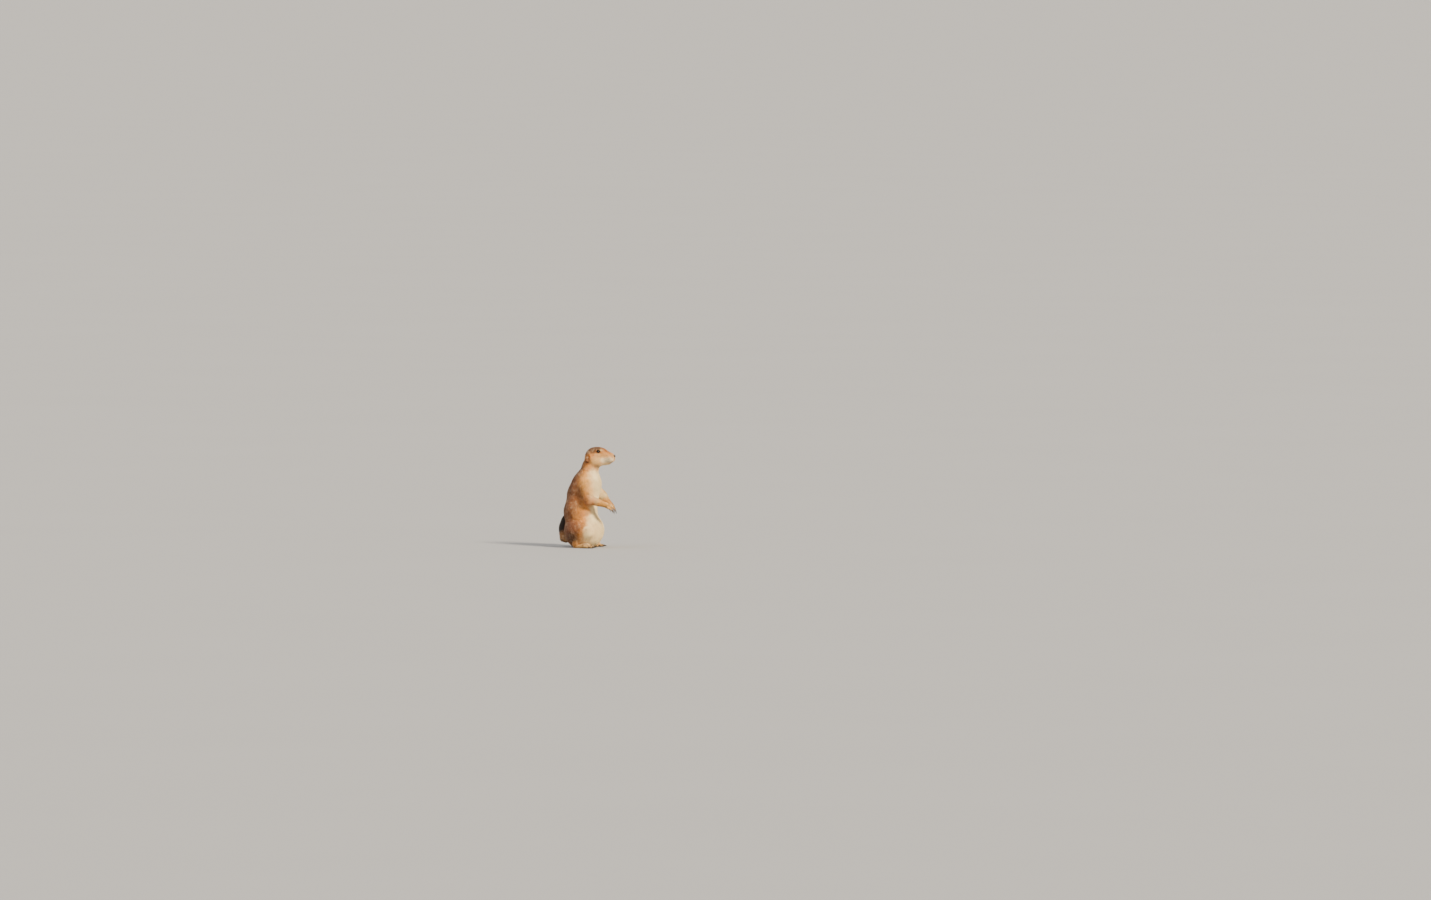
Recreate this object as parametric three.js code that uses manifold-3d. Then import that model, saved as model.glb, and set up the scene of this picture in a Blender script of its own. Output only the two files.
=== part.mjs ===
// A still, life-size black-tailed prairie dog that sits upright on its haunches, with its forepaws held
// loosely in front of its chest and the black end of its tail raised behind it.
//
// Millimetres. +X is the way the animal faces, +Y its left, +Z up, and the floor is at Z = 0.
// The body is one soft skin over ellipsoids and tapered limbs, which is then parted into its named pieces
// with cuts as thin as GAP. The outer surface is that of the coat, out to the tips of its short fur.
import * as THREE from "three";
import { mergeVertices } from "three/addons/utils/BufferGeometryUtils.js";
import Module from "manifold-3d";

const wasm = await Module();
wasm.setup();

// Driving dimensions
const GAP = 0.3; // between two pieces that touch
const FACE_CELL = 3.0; // edge of the net that the skin is drawn with, on the head
const HAND_CELL = 2.0;
const FOOT_CELL = 2.5;
const FOREARM_CELL = 3.4;
const LIMB_CELL = 4.8;
const TRUNK_CELL = 7;
const THINNING = 0.035; // how far a net may stray from the skin once it is thinned, as a share of its cell
const SLIVER = 0.03; // how far a finished piece may stray where the slivers of its cuts are cleared away
const EYE_RADIUS = 6.4;
const HEAD_TURN = 10; // degrees to its left
const FORE_CLAW = 12; // length of the longest claw
const HIND_CLAW = 8;
const HEAD_PIVOT = [20, 0, 232]; // top of the neck, where the head turns

const SIDES = { left: 1, right: -1 };

// The same draws each run, from 0 to 1.
let seed = 7;
function random() {
  seed = (seed * 16807) % 2147483647;
  return seed / 2147483647;
}

const radians = THREE.MathUtils.degToRad;

// Vectors are plain arrays here, because the fields below are read some hundred thousand times.
const add = (a, b) => a.map((v, i) => v + b[i]);
const sub = (a, b) => a.map((v, i) => v - b[i]);
const scale = (a, s) => a.map((v) => v * s);
const dot = (a, b) => a[0] * b[0] + a[1] * b[1] + a[2] * b[2];
const cross = (a, b) => [
  a[1] * b[2] - a[2] * b[1],
  a[2] * b[0] - a[0] * b[2],
  a[0] * b[1] - a[1] * b[0],
];
const unit = (a) => scale(a, 1 / Math.hypot(...a));
const mix = (a, b, t) => a.map((v, i) => v + (b[i] - v) * t);
const onSide = (p, side) => [p[0], p[1] * side, p[2]];

// Signed distance fields, negative inside

// An ellipsoid, whose top leans forward by so many degrees.
function ellipsoid(at, half, lean = 0) {
  const c = Math.cos(radians(lean));
  const s = Math.sin(radians(lean));
  return (x, y, z) => {
    const dx = x - at[0];
    const dz = z - at[2];
    const lx = (dx * c - dz * s) / half[0];
    const ly = (y - at[1]) / half[1];
    const lz = (dx * s + dz * c) / half[2];
    const near = Math.hypot(lx, ly, lz);
    const slope = Math.hypot(lx / half[0], ly / half[1], lz / half[2]);
    return slope < 1e-9 ? -Math.min(...half) : (near * (near - 1)) / slope;
  };
}

// A limb with round ends that tapers from radius ra at a to rb at b.
function taper(a, b, ra, rb) {
  const ba = sub(b, a);
  const l2 = dot(ba, ba);
  const rr = ra - rb;
  const a2 = l2 - rr * rr;
  return (x, y, z) => {
    const pa = [x - a[0], y - a[1], z - a[2]];
    const along = dot(pa, ba);
    const past = along - l2;
    const ax = [0, 1, 2].map((i) => pa[i] * l2 - ba[i] * along);
    const x2 = dot(ax, ax);
    const y2 = along * along * l2;
    const z2 = past * past * l2;
    const k = Math.sign(rr) * rr * rr * x2;
    if (Math.sign(past) * a2 * z2 > k) return Math.sqrt(x2 + z2) / l2 - rb;
    if (Math.sign(along) * a2 * y2 < k) return Math.sqrt(x2 + y2) / l2 - ra;
    return (Math.sqrt((x2 * a2) / l2) + along * rr) / l2 - ra;
  };
}

function softMin(a, b, k) {
  const h = Math.max(k - Math.abs(a - b), 0) / k;
  return Math.min(a, b) - h * h * k * 0.25;
}

// Fields melted into one, with fillets about as wide as k.
const melt = (fields, k) => (x, y, z) =>
  fields.slice(1).reduce((d, f) => softMin(d, f(x, y, z), k), fields[0](x, y, z));

// The trunk, from the rump that the animal sits on to the top of its neck
const TRUNK = [
  ellipsoid([-12, 0, 45], [43, 44, 46]), // rump
  ellipsoid([7, 0, 48], [50, 46, 49]), // belly
  ellipsoid([-9, 0, 98], [47, 45, 52]), // waist
  ellipsoid([-2, 0, 143], [45, 38, 46], 8), // chest
  ellipsoid([6, 0, 170], [38, 37, 36], 10), // shoulders
  ellipsoid([18, 0, 178], [29, 31, 32]), // breast
  taper([9, 0, 186], [21, 0, 222], 31, 21.5), // neck
];

// The head, drawn as it looks straight ahead, and turned afterwards
const HEAD = [
  taper([21, 0, 226], [28, 0, 246], 21, 21.5), // nape
  ellipsoid([32, 0, 252], [25.5, 24.5, 24.5]), // cranium
  ellipsoid([46, 0, 259], [22, 17, 17.5], 12), // forehead
  taper([56, 0, 259], [80, 0, 252], 12, 7.5), // bridge of the nose
  taper([46, 0, 250], [78, 0, 246.5], 18.5, 9.5), // muzzle
  taper([42, 0, 238], [71, 0, 235], 13, 6.6), // lower jaw
];
const FACE_PAIRS = (side) => [
  ellipsoid([37, 11 * side, 240], [21, 16.5, 17.5]), // cheek
  ellipsoid([43, 13.5 * side, 266.5], [11, 5, 5]), // brow
  ellipsoid([77, 5.2 * side, 243.5], [9.5, 6.6, 7]), // whisker pad and upper lip
];
const EYE_AT = [44, 14.1, 264];
const EYE_LOOKS = unit([0.26, 0.93, 0.24]);
const EAR_AT = [17, 23.5, 245];
const NOSE_AT = [86.2, 0, 252.2];
// The mouth, from the middle of the front to the corner
const MOUTH = [
  [86, 0, 239.5],
  [83, 5.5, 238.6],
  [77, 9.5, 237.2],
  [70, 13, 236.6],
  [64, 16, 237.4],
];

const headField = melt(
  [...HEAD, ...FACE_PAIRS(1), ...FACE_PAIRS(-1)],
  7,
);

// Turns a point of the world back to where the straight head has it.
function unturned(x, y, z) {
  const c = Math.cos(radians(HEAD_TURN));
  const s = Math.sin(radians(HEAD_TURN));
  const dx = x - HEAD_PIVOT[0];
  const dy = y - HEAD_PIVOT[1];
  return [HEAD_PIVOT[0] + dx * c + dy * s, HEAD_PIVOT[1] - dx * s + dy * c, z];
}
const headMatrix = new THREE.Matrix4()
  .makeTranslation(...HEAD_PIVOT)
  .multiply(new THREE.Matrix4().makeRotationZ(radians(HEAD_TURN)))
  .multiply(new THREE.Matrix4().makeTranslation(...scale(HEAD_PIVOT, -1)));

// Joints of the limbs. The left arm is held a little further forward than the right one.
const ARMS = {
  left: { shoulder: [17, 29, 167], elbow: [39, 38, 141], wrist: [69, 22, 119], tips: [84, 18, 108] },
  right: { shoulder: [17, -29, 167], elbow: [30, -38, 134], wrist: [74, -23, 119], tips: [89, -19, 109] },
};
const LEG = {
  hip: [-14, 25, 50],
  knee: [25, 40, 44],
  ankle: [-6, 37, 15],
  heel: [-9, 36, 7.5],
  ball: [26, 39, 7],
};

// A paw's own directions: forward to the tips, up through its back, and out to the side.
function pawFrame(from, to, up) {
  const forward = unit(sub(to, from));
  const out = unit(cross(up, forward));
  return { from, forward, out, up: cross(forward, out) };
}
const inFrame = (f, [ahead, aside, above]) =>
  add(add(add(f.from, scale(f.forward, ahead)), scale(f.out, aside)), scale(f.up, above));

// Digits as [aside, root ahead, tip ahead, radius, claw length], from the inner one to the outer one
const FINGERS = [
  [6.3, 4, 9, 2.6, 0.45 * FORE_CLAW],
  [5.0, 9, 17.5, 2.6, 0.92 * FORE_CLAW],
  [0.2, 10, 19.5, 2.7, FORE_CLAW],
  [-4.8, 9, 17.5, 2.6, 0.92 * FORE_CLAW],
  [-8.6, 6, 12.5, 2.5, 0.7 * FORE_CLAW],
];
const TOES = [
  [10.2, 28, 38, 3.3, 0.8 * HIND_CLAW],
  [5.6, 33, 48, 3.5, HIND_CLAW],
  [0.2, 34, 51, 3.6, HIND_CLAW],
  [-5.2, 33, 48.5, 3.5, HIND_CLAW],
  [-9.8, 28, 39, 3.3, 0.8 * HIND_CLAW],
];

function handOf(name) {
  const arm = ARMS[name];
  const frame = pawFrame(arm.wrist, arm.tips, [0.7, 0, 0.7]);
  const inner = -SIDES[name];
  const at = (p) => inFrame(frame, p);
  const digits = FINGERS.map(([aside, root, tip, r, claw]) => ({
    a: at([root, aside * inner, 0.4]),
    b: at([tip, aside * inner, -1.6]),
    r,
    claw,
    frame,
  }));
  const back = taper(at([-1, 0, 0]), at([8.5, 0, 0]), 6.6, 6.2);
  const knuckles = taper(at([8, 4.4, -0.6]), at([8, -4.4, -0.6]), 4.6, 4.6);
  const fingers = digits.map((d) => taper(d.a, d.b, d.r, d.r * 0.86));
  return { frame, digits, field: melt([melt([back, knuckles], 4), ...fingers], 2) };
}

function footOf(name) {
  const side = SIDES[name];
  const heel = onSide(LEG.heel, side);
  const frame = pawFrame(heel, onSide([LEG.ball[0] + 20, 41, LEG.heel[2]], side), [0, 0, 1]);
  const inner = -side;
  const at = (p) => inFrame(frame, p);
  const digits = TOES.map(([aside, root, tip, r, claw]) => ({
    a: at([root, aside * inner, -1.5]),
    b: at([tip, aside * inner, -3.6]),
    r,
    claw,
    frame,
  }));
  const sole = taper(heel, onSide(LEG.ball, side), 8, 8);
  const ball = taper(at([31, 6, -2.5]), at([31, -6, -2.5]), 5, 5);
  const toes = digits.map((d) => taper(d.a, d.b, d.r, d.r * 0.88));
  return { frame, digits, field: melt([melt([sole, ball], 5), ...toes], 2.4) };
}

function armField(name) {
  const { shoulder, elbow, wrist } = ARMS[name];
  return melt(
    [
      ellipsoid(add(shoulder, [-2, -1 * SIDES[name], -2]), [19, 13, 25], 14),
      taper(shoulder, elbow, 15, 13),
      taper(elbow, wrist, 13, 7),
    ],
    7,
  );
}

function legField(name) {
  const side = SIDES[name];
  const [hip, knee, ankle, heel] = [LEG.hip, LEG.knee, LEG.ankle, LEG.heel].map((p) => onSide(p, side));
  return melt(
    [
      taper(hip, knee, 28, 16),
      ellipsoid(onSide([0, 34, 44], side), [32, 22, 31], -12),
      taper(knee, ankle, 14, 10.5),
      taper(ankle, heel, 10, 8),
    ],
    8,
  );
}

// The tail leaves the rump low down, turns to the left and lifts its black end.
// Each point has the radius out to the tips of the hair.
const TAIL = [
  [[-38, 1, 34], 13],
  [[-53, 6, 22], 9.5],
  [[-66, 16, 22], 8.5],
  [[-74.5, 28, 40], 9],
  [[-75.5, 36, 58], 8.5],
  [[-75, 41, 74], 3],
];
const tailField = melt(
  TAIL.slice(1).map(([b, rb], i) => taper(TAIL[i][0], b, TAIL[i][1], rb)),
  5,
);

// The black brush at the tail's end: long, flat locks in rings over a thin core
const BRUSH = {
  rings: 7,
  around: 7,
  length: 25,
  width: 7.6,
  thickness: 2,
  core: 0.5, // radius of the core, as a share of the brush's
  bare: 15, // length at the end that has locks alone
  fullness: 1.12,
};

const hands = { left: handOf("left"), right: handOf("right") };
const feet = { left: footOf("left"), right: footOf("right") };
const trunkField = melt(TRUNK, 15);
const SKIN_PARTS = [
  [(x, y, z) => headField(...unturned(x, y, z)), 10],
  [legField("left"), 9],
  [legField("right"), 9],
  [armField("left"), 8],
  [armField("right"), 8],
  [tailField, 8],
  [feet.left.field, 4],
  [feet.right.field, 4],
  [hands.left.field, 3],
  [hands.right.field, 3],
];
const body = (x, y, z) => SKIN_PARTS.reduce((d, [f, k]) => softMin(d, f(x, y, z), k), trunkField(x, y, z));

// Steps a point along the field's slope onto its surface.
function settle(field, p, steps = 3) {
  const h = 0.05;
  for (let i = 0; i < steps; i++) {
    const d = field(...p);
    const g = [0, 1, 2].map((k) => {
      const q = [...p];
      q[k] += h;
      return (field(...q) - d) / h;
    });
    const size = Math.max(dot(g, g), 0.1);
    p = p.map((v, k) => v - (d * g[k]) / size);
  }
  return p;
}

// A closed net drawn over a field inside a box: one point for each cell that the surface crosses, and one
// four-sided face for each edge of the cells that crosses the surface. The cells start so much of a cell
// before the box.
function netFrom(start, field, [low, high], cell) {
  const n = low.map((v, i) => Math.ceil((high[i] - v) / cell) + 4);
  const corner = (i, k) => low[k] + (i - 1 - start) * cell;
  const inBox = (p) => Math.max(...p.map((v, k) => Math.max(low[k] - v, v - high[k])));
  const at = (i, j, k) => (k * n[1] + j) * n[0] + i;
  const value = new Float64Array(n[0] * n[1] * n[2]);
  const bounded = (x, y, z) => Math.max(field(x, y, z), inBox([x, y, z]));
  for (let k = 0; k < n[2]; k++)
    for (let j = 0; j < n[1]; j++)
      for (let i = 0; i < n[0]; i++) value[at(i, j, k)] = bounded(corner(i, 0), corner(j, 1), corner(k, 2));

  const CORNERS = [...Array(8).keys()].map((c) => [c & 1, (c >> 1) & 1, (c >> 2) & 1]);
  const EDGES = CORNERS.flatMap((a, i) => [1, 2, 4].filter((bit) => !(i & bit)).map((bit) => [i, i | bit]));
  const points = [];
  const pointOf = new Map();
  for (let k = 0; k + 1 < n[2]; k++)
    for (let j = 0; j + 1 < n[1]; j++)
      for (let i = 0; i + 1 < n[0]; i++) {
        const v = CORNERS.map(([a, b, c]) => value[at(i + a, j + b, k + c)]);
        if (v.every((d) => d < 0) || v.every((d) => d >= 0)) continue;
        const crossings = EDGES.filter(([a, b]) => v[a] < 0 !== v[b] < 0).map(([a, b]) =>
          mix(CORNERS[a], CORNERS[b], v[a] / (v[a] - v[b])),
        );
        const mean = scale(crossings.reduce(add), 1 / crossings.length);
        const p = [corner(i + mean[0], 0), corner(j + mean[1], 1), corner(k + mean[2], 2)];
        const onSkin = inBox(p) < -0.6 * cell;
        pointOf.set(at(i, j, k), points.length);
        points.push(onSkin ? settle(field, p) : p);
      }

  const faces = [];
  const STEPS = [at(1, 0, 0), at(0, 1, 0), at(0, 0, 1)];
  for (let k = 1; k + 1 < n[2]; k++)
    for (let j = 1; j + 1 < n[1]; j++)
      for (let i = 1; i + 1 < n[0]; i++) {
        const here = at(i, j, k);
        for (let axis = 0; axis < 3; axis++) {
          const inside = value[here] < 0;
          if (inside === value[here + STEPS[axis]] < 0) continue;
          const u = STEPS[(axis + 1) % 3];
          const w = STEPS[(axis + 2) % 3];
          const ring = [here, here - u, here - u - w, here - w].map((c) => pointOf.get(c));
          const [a, b, c, d] = inside ? ring : [...ring].reverse();
          const across = (p, q) => Math.hypot(...sub(points[p], points[q]));
          if (across(a, c) < across(b, d)) faces.push(a, b, c, a, c, d);
          else faces.push(b, c, d, b, d, a);
        }
      }
  return new THREE.BufferGeometry()
    .setAttribute("position", new THREE.Float32BufferAttribute(points.flat(), 3))
    .setIndex(faces);
}

// Where the skin runs just along the cells, two sheets of the net can share an edge. Cells that start
// elsewhere draw it with fewer such edges, or none.
function netOver(field, box, cell) {
  let best;
  for (const start of [0, 0.29, 0.53, 0.77]) {
    const net = netFrom(start, field, box, cell);
    const index = net.index.array;
    const edges = new Set();
    for (let i = 0; i < index.length; i++) {
      const next = i % 3 === 2 ? index[i - 2] : index[i + 1];
      edges.add(index[i] * 1e6 + next);
    }
    const shared = index.length - edges.size;
    if (!best || shared < best.shared) best = { net, shared };
    if (!shared) break;
  }
  return best.net;
}

// The same closed net with fewer points: an edge shrinks to a point wherever the surface then stays within
// the tolerance of the planes it had there, and no face turns over.
function thinned(net, tolerance) {
  const index = net.index.array;
  const read = net.attributes.position;
  const points = [...Array(read.count).keys()].map((i) => [read.getX(i), read.getY(i), read.getZ(i)]);
  const faces = [...Array(index.length / 3).keys()].map((f) => [...index.slice(3 * f, 3 * f + 3)]);
  const around = points.map(() => new Set());
  faces.forEach((face, f) => face.forEach((v) => around[v].add(f)));
  const normalOf = ([a, b, c]) => cross(sub(points[b], points[a]), sub(points[c], points[a]));
  // Each point keeps the planes that its faces had at first, as sums of products of their four numbers.
  const planes = points.map(() => new Float64Array(11));
  faces.forEach((face) => {
    const n = normalOf(face);
    const area = Math.hypot(...n);
    if (area < 1e-12) return;
    const [x, y, z] = scale(n, 1 / area);
    const w = -dot([x, y, z], points[face[0]]);
    const sums = [x * x, x * y, x * z, x * w, y * y, y * z, y * w, z * z, z * w, w * w, 1];
    face.forEach((v) => sums.forEach((value, i) => (planes[v][i] += value * area)));
  });
  const strayOf = (q, [x, y, z]) => {
    const squares = q[0] * x * x + q[4] * y * y + q[7] * z * z;
    const pairs = q[1] * x * y + q[2] * x * z + q[5] * y * z;
    const singles = q[3] * x + q[6] * y + q[8] * z;
    return Math.sqrt(Math.max(squares + 2 * (pairs + singles) + q[9], 0) / q[10]);
  };
  const neighbours = (v) => new Set([...around[v]].flatMap((f) => faces[f]).filter((w) => w !== v));
  const turnsOver = (v, other, to) =>
    [...around[v]].some((f) => {
      const face = faces[f];
      if (face.includes(other)) return false;
      const before = normalOf(face);
      const corners = face.map((w) => (w === v ? to : points[w]));
      const after = cross(sub(corners[1], corners[0]), sub(corners[2], corners[0]));
      return dot(before, after) < 0.3 * Math.hypot(...before) * Math.hypot(...after);
    });
  for (let pass = 0; pass < 14; pass++) {
    const edges = [];
    faces.forEach((face) => {
      if (!face) return;
      for (let i = 0; i < 3; i++) {
        const [a, b] = [face[i], face[(i + 1) % 3]];
        if (a > b) continue;
        const q = planes[a].map((v, k) => v + planes[b][k]);
        const to = [points[a], points[b], mix(points[a], points[b], 0.5)].reduce((best, p) =>
          strayOf(q, p) < strayOf(q, best) ? p : best,
        );
        const stray = strayOf(q, to);
        const length = Math.hypot(...sub(points[a], points[b]));
        if (stray < tolerance) edges.push([stray + 0.01 * tolerance * length, a, b, to, q]);
      }
    });
    edges.sort((e, f) => e[0] - f[0]);
    const touched = new Set();
    for (const [, a, b, to, q] of edges) {
      if (touched.has(a) || touched.has(b)) continue;
      const near = neighbours(a);
      const shared = [...neighbours(b)].filter((v) => near.has(v));
      if (shared.length !== 2 || shared.some((v) => around[v].size < 4)) continue;
      if (turnsOver(a, b, to) || turnsOver(b, a, to)) continue;
      [...near, ...neighbours(b)].forEach((v) => touched.add(v));
      points[a] = to;
      planes[a] = q;
      for (const f of around[b]) {
        if (faces[f].includes(a)) {
          faces[f].forEach((v) => v !== b && around[v].delete(f));
          faces[f] = null;
        } else {
          faces[f] = faces[f].map((v) => (v === b ? a : v));
          around[a].add(f);
        }
      }
      around[b].clear();
    }
    if (!touched.size) break;
  }
  const kept = faces.filter((face) => face);
  const places = kept.flat().flatMap((v) => points[v]);
  const position = new THREE.Float32BufferAttribute(places, 3);
  return mergeVertices(new THREE.BufferGeometry().setAttribute("position", position), 1e-5);
}

// three.js geometries and manifold-3d solids

function solidOf(geometry) {
  const bare = geometry.clone();
  bare.deleteAttribute("normal");
  bare.deleteAttribute("uv");
  const merged = mergeVertices(bare, 1e-4);
  return new wasm.Manifold(
    new wasm.Mesh({
      numProp: 3,
      vertProperties: merged.attributes.position.array,
      triVerts: new Uint32Array(merged.index.array),
    }),
  );
}

function geometryOf(solid) {
  const mesh = solid.getMesh();
  return new THREE.BufferGeometry()
    .setAttribute("position", new THREE.BufferAttribute(mesh.vertProperties, 3))
    .setIndex(new THREE.BufferAttribute(mesh.triVerts, 1));
}

// Only the largest closed surface stays, so no scrap of a cut is left loose.
function largest(solid) {
  return solid.decompose().reduce((best, s) => (s.volume() > best.volume() ? s : best));
}

// The body's skin inside a box, stood off by some distance.
function skin(low, high, cell, proud = 0) {
  const net = netOver((x, y, z) => body(x, y, z) - proud, [low, high], cell);
  return solidOf(thinned(net, THINNING * cell));
}

// The turn that takes +Z to a direction.
function turnTo(direction) {
  const up = new THREE.Vector3(0, 0, 1);
  return new THREE.Quaternion().setFromUnitVectors(up, new THREE.Vector3(...direction));
}

// All that lies ahead of a plane, as far as the model reaches.
function ahead(point, normal, clearance = 0) {
  const FAR = 900;
  const box = new THREE.BoxGeometry(FAR, FAR, FAR).translate(0, 0, FAR / 2 + clearance);
  return solidOf(box.applyQuaternion(turnTo(unit(normal))).translate(...point));
}

// An ellipsoid as a solid, grown by some clearance.
function egg(at, half, clearance = 0, turn = new THREE.Matrix4(), detail = [24, 16]) {
  return solidOf(
    new THREE.SphereGeometry(1, ...detail)
      .rotateX(Math.PI / 2)
      .scale(...half.map((v) => v + clearance))
      .applyMatrix4(turn)
      .translate(...at),
  );
}

// A closed tube through points, with half its width at each. Its thickness, from the side that faces up to
// the other one, is its width times flat.
function tube(points, halfWidths, sides, flat = 1, up = [0, 0, 1]) {
  const position = points.flatMap((p, i) => {
    const along = unit(sub(points[Math.min(i + 1, points.length - 1)], points[Math.max(i - 1, 0)]));
    const across = unit(cross(Math.abs(dot(along, up)) > 0.95 ? [1, 0, 0] : up, along));
    const over = cross(along, across);
    return [...Array(sides).keys()].flatMap((k) => {
      const turn = (2 * Math.PI * k) / sides;
      const wide = scale(across, Math.cos(turn) * halfWidths[i]);
      return add(add(p, wide), scale(over, Math.sin(turn) * halfWidths[i] * flat));
    });
  });
  const faces = [];
  for (let i = 0; i + 1 < points.length; i++)
    for (let k = 0; k < sides; k++) {
      const [a, b] = [i * sides + k, i * sides + ((k + 1) % sides)];
      faces.push(a, b, b + sides, a, b + sides, a + sides);
    }
  const last = (points.length - 1) * sides;
  for (let k = 1; k + 1 < sides; k++) faces.push(0, k + 1, k, last, last + k, last + k + 1);
  const place = new THREE.Float32BufferAttribute(position, 3);
  return solidOf(new THREE.BufferGeometry().setAttribute("position", place).setIndex(faces));
}

const floor = ahead([0, 0, 0], [0, 0, 1]);

// The cuts, as planes given by a point and the direction of the piece that lies further out
const CUTS = {
  head: { at: [36.6, 0, 218], out: [0.45, 0, 0.89] },
  neck: { at: [10, 0, 193], out: [0.28, 0, 0.96] },
  tailEnd: { at: [-72, 25, 34], out: [-0.35, 0.45, 0.82] },
};
const beyond = ({ at, out }, clearance = 0) => ahead(at, out, clearance);
const short = ({ at, out }, clearance = 0) => ahead(at, scale(out, -1), clearance);

// A net whose points are moved outwards by some distance.
function grown(net, distance) {
  const wider = net.clone();
  wider.computeVertexNormals();
  const { position, normal } = wider.attributes;
  for (let i = 0; i < position.count; i++) {
    const out = new THREE.Vector3().fromBufferAttribute(normal, i);
    const at = new THREE.Vector3().fromBufferAttribute(position, i).addScaledVector(out, distance);
    position.setXYZ(i, ...at);
  }
  return wider;
}

// What of the body a limb takes with it: all that lies nearer to the limb than to the rest. The limb keeps
// what is inside, and the rest loses that and the gap.
function territory(limb, rest, low, high) {
  const net = thinned(netOver((x, y, z) => limb(x, y, z) - rest(x, y, z), [low, high], LIMB_CELL), 0.4);
  return { limb: solidOf(net), hollow: solidOf(grown(net, GAP)) };
}
const reach = (side, [x0, y0, z0], [x1, y1, z1]) =>
  side > 0 ? [[x0, y0, z0], [x1, y1, z1]] : [[x0, -y1, z0], [x1, -y0, z1]];
const ARM_REACH = (side) => reach(side, [-26, 0, 80], [110, 72, 206]);
const LEG_REACH = (side) => reach(side, [-66, 4, -12], [70, 80, 100]);
const armTerritory = {};
const legTerritory = {};
for (const [name, side] of Object.entries(SIDES)) {
  const arm = melt([armField(name), hands[name].field], 4);
  const leg = melt([legField(name), feet[name].field], 4);
  armTerritory[name] = territory(arm, trunkField, ...ARM_REACH(side));
  legTerritory[name] = territory(leg, trunkField, ...LEG_REACH(side));
}
const TAIL_REACH = [[-100, -34, -8], [-22, 66, 92]];
const besideTail = melt([trunkField, legField("left"), legField("right")], 3);
const tailTerritory = territory(tailField, besideTail, ...TAIL_REACH);

const MATERIALS = {
  back_fur: new THREE.MeshStandardMaterial({ color: 0xb98a5c, roughness: 0.85, metalness: 0 }),
  belly_fur: new THREE.MeshStandardMaterial({ color: 0xe9d9bd, roughness: 0.85, metalness: 0 }),
  tail_black: new THREE.MeshStandardMaterial({ color: 0x1d1611, roughness: 0.8, metalness: 0 }),
  nose_skin: new THREE.MeshStandardMaterial({ color: 0x2f221c, roughness: 0.5, metalness: 0 }),
  eye: new THREE.MeshStandardMaterial({ color: 0x0d0806, roughness: 0.06, metalness: 0 }),
  claw: new THREE.MeshStandardMaterial({ color: 0x2a211b, roughness: 0.4, metalness: 0 }),
};

const model = new THREE.Group();

function place(name, solid, material) {
  const mesh = new THREE.Mesh(thinned(geometryOf(largest(solid)), SLIVER), MATERIALS[material]);
  mesh.name = name;
  model.add(mesh);
}

function buildTrunk() {
  let torso = skin([-62, -62, -6], [62, 62, 206], TRUNK_CELL).intersect(floor);
  torso = torso.intersect(short(CUTS.neck, GAP / 2));
  let neck = skin([-40, -45, 180], [60, 45, 256], LIMB_CELL).intersect(beyond(CUTS.neck, GAP / 2));
  for (const name of Object.keys(SIDES)) {
    torso = torso.subtract(armTerritory[name].hollow).subtract(legTerritory[name].hollow);
    neck = neck.subtract(armTerritory[name].hollow);
  }
  place("torso", torso.subtract(tailTerritory.hollow), "back_fur");
  place("neck", neck.intersect(short(CUTS.head, GAP / 2)), "back_fur");
}

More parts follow.
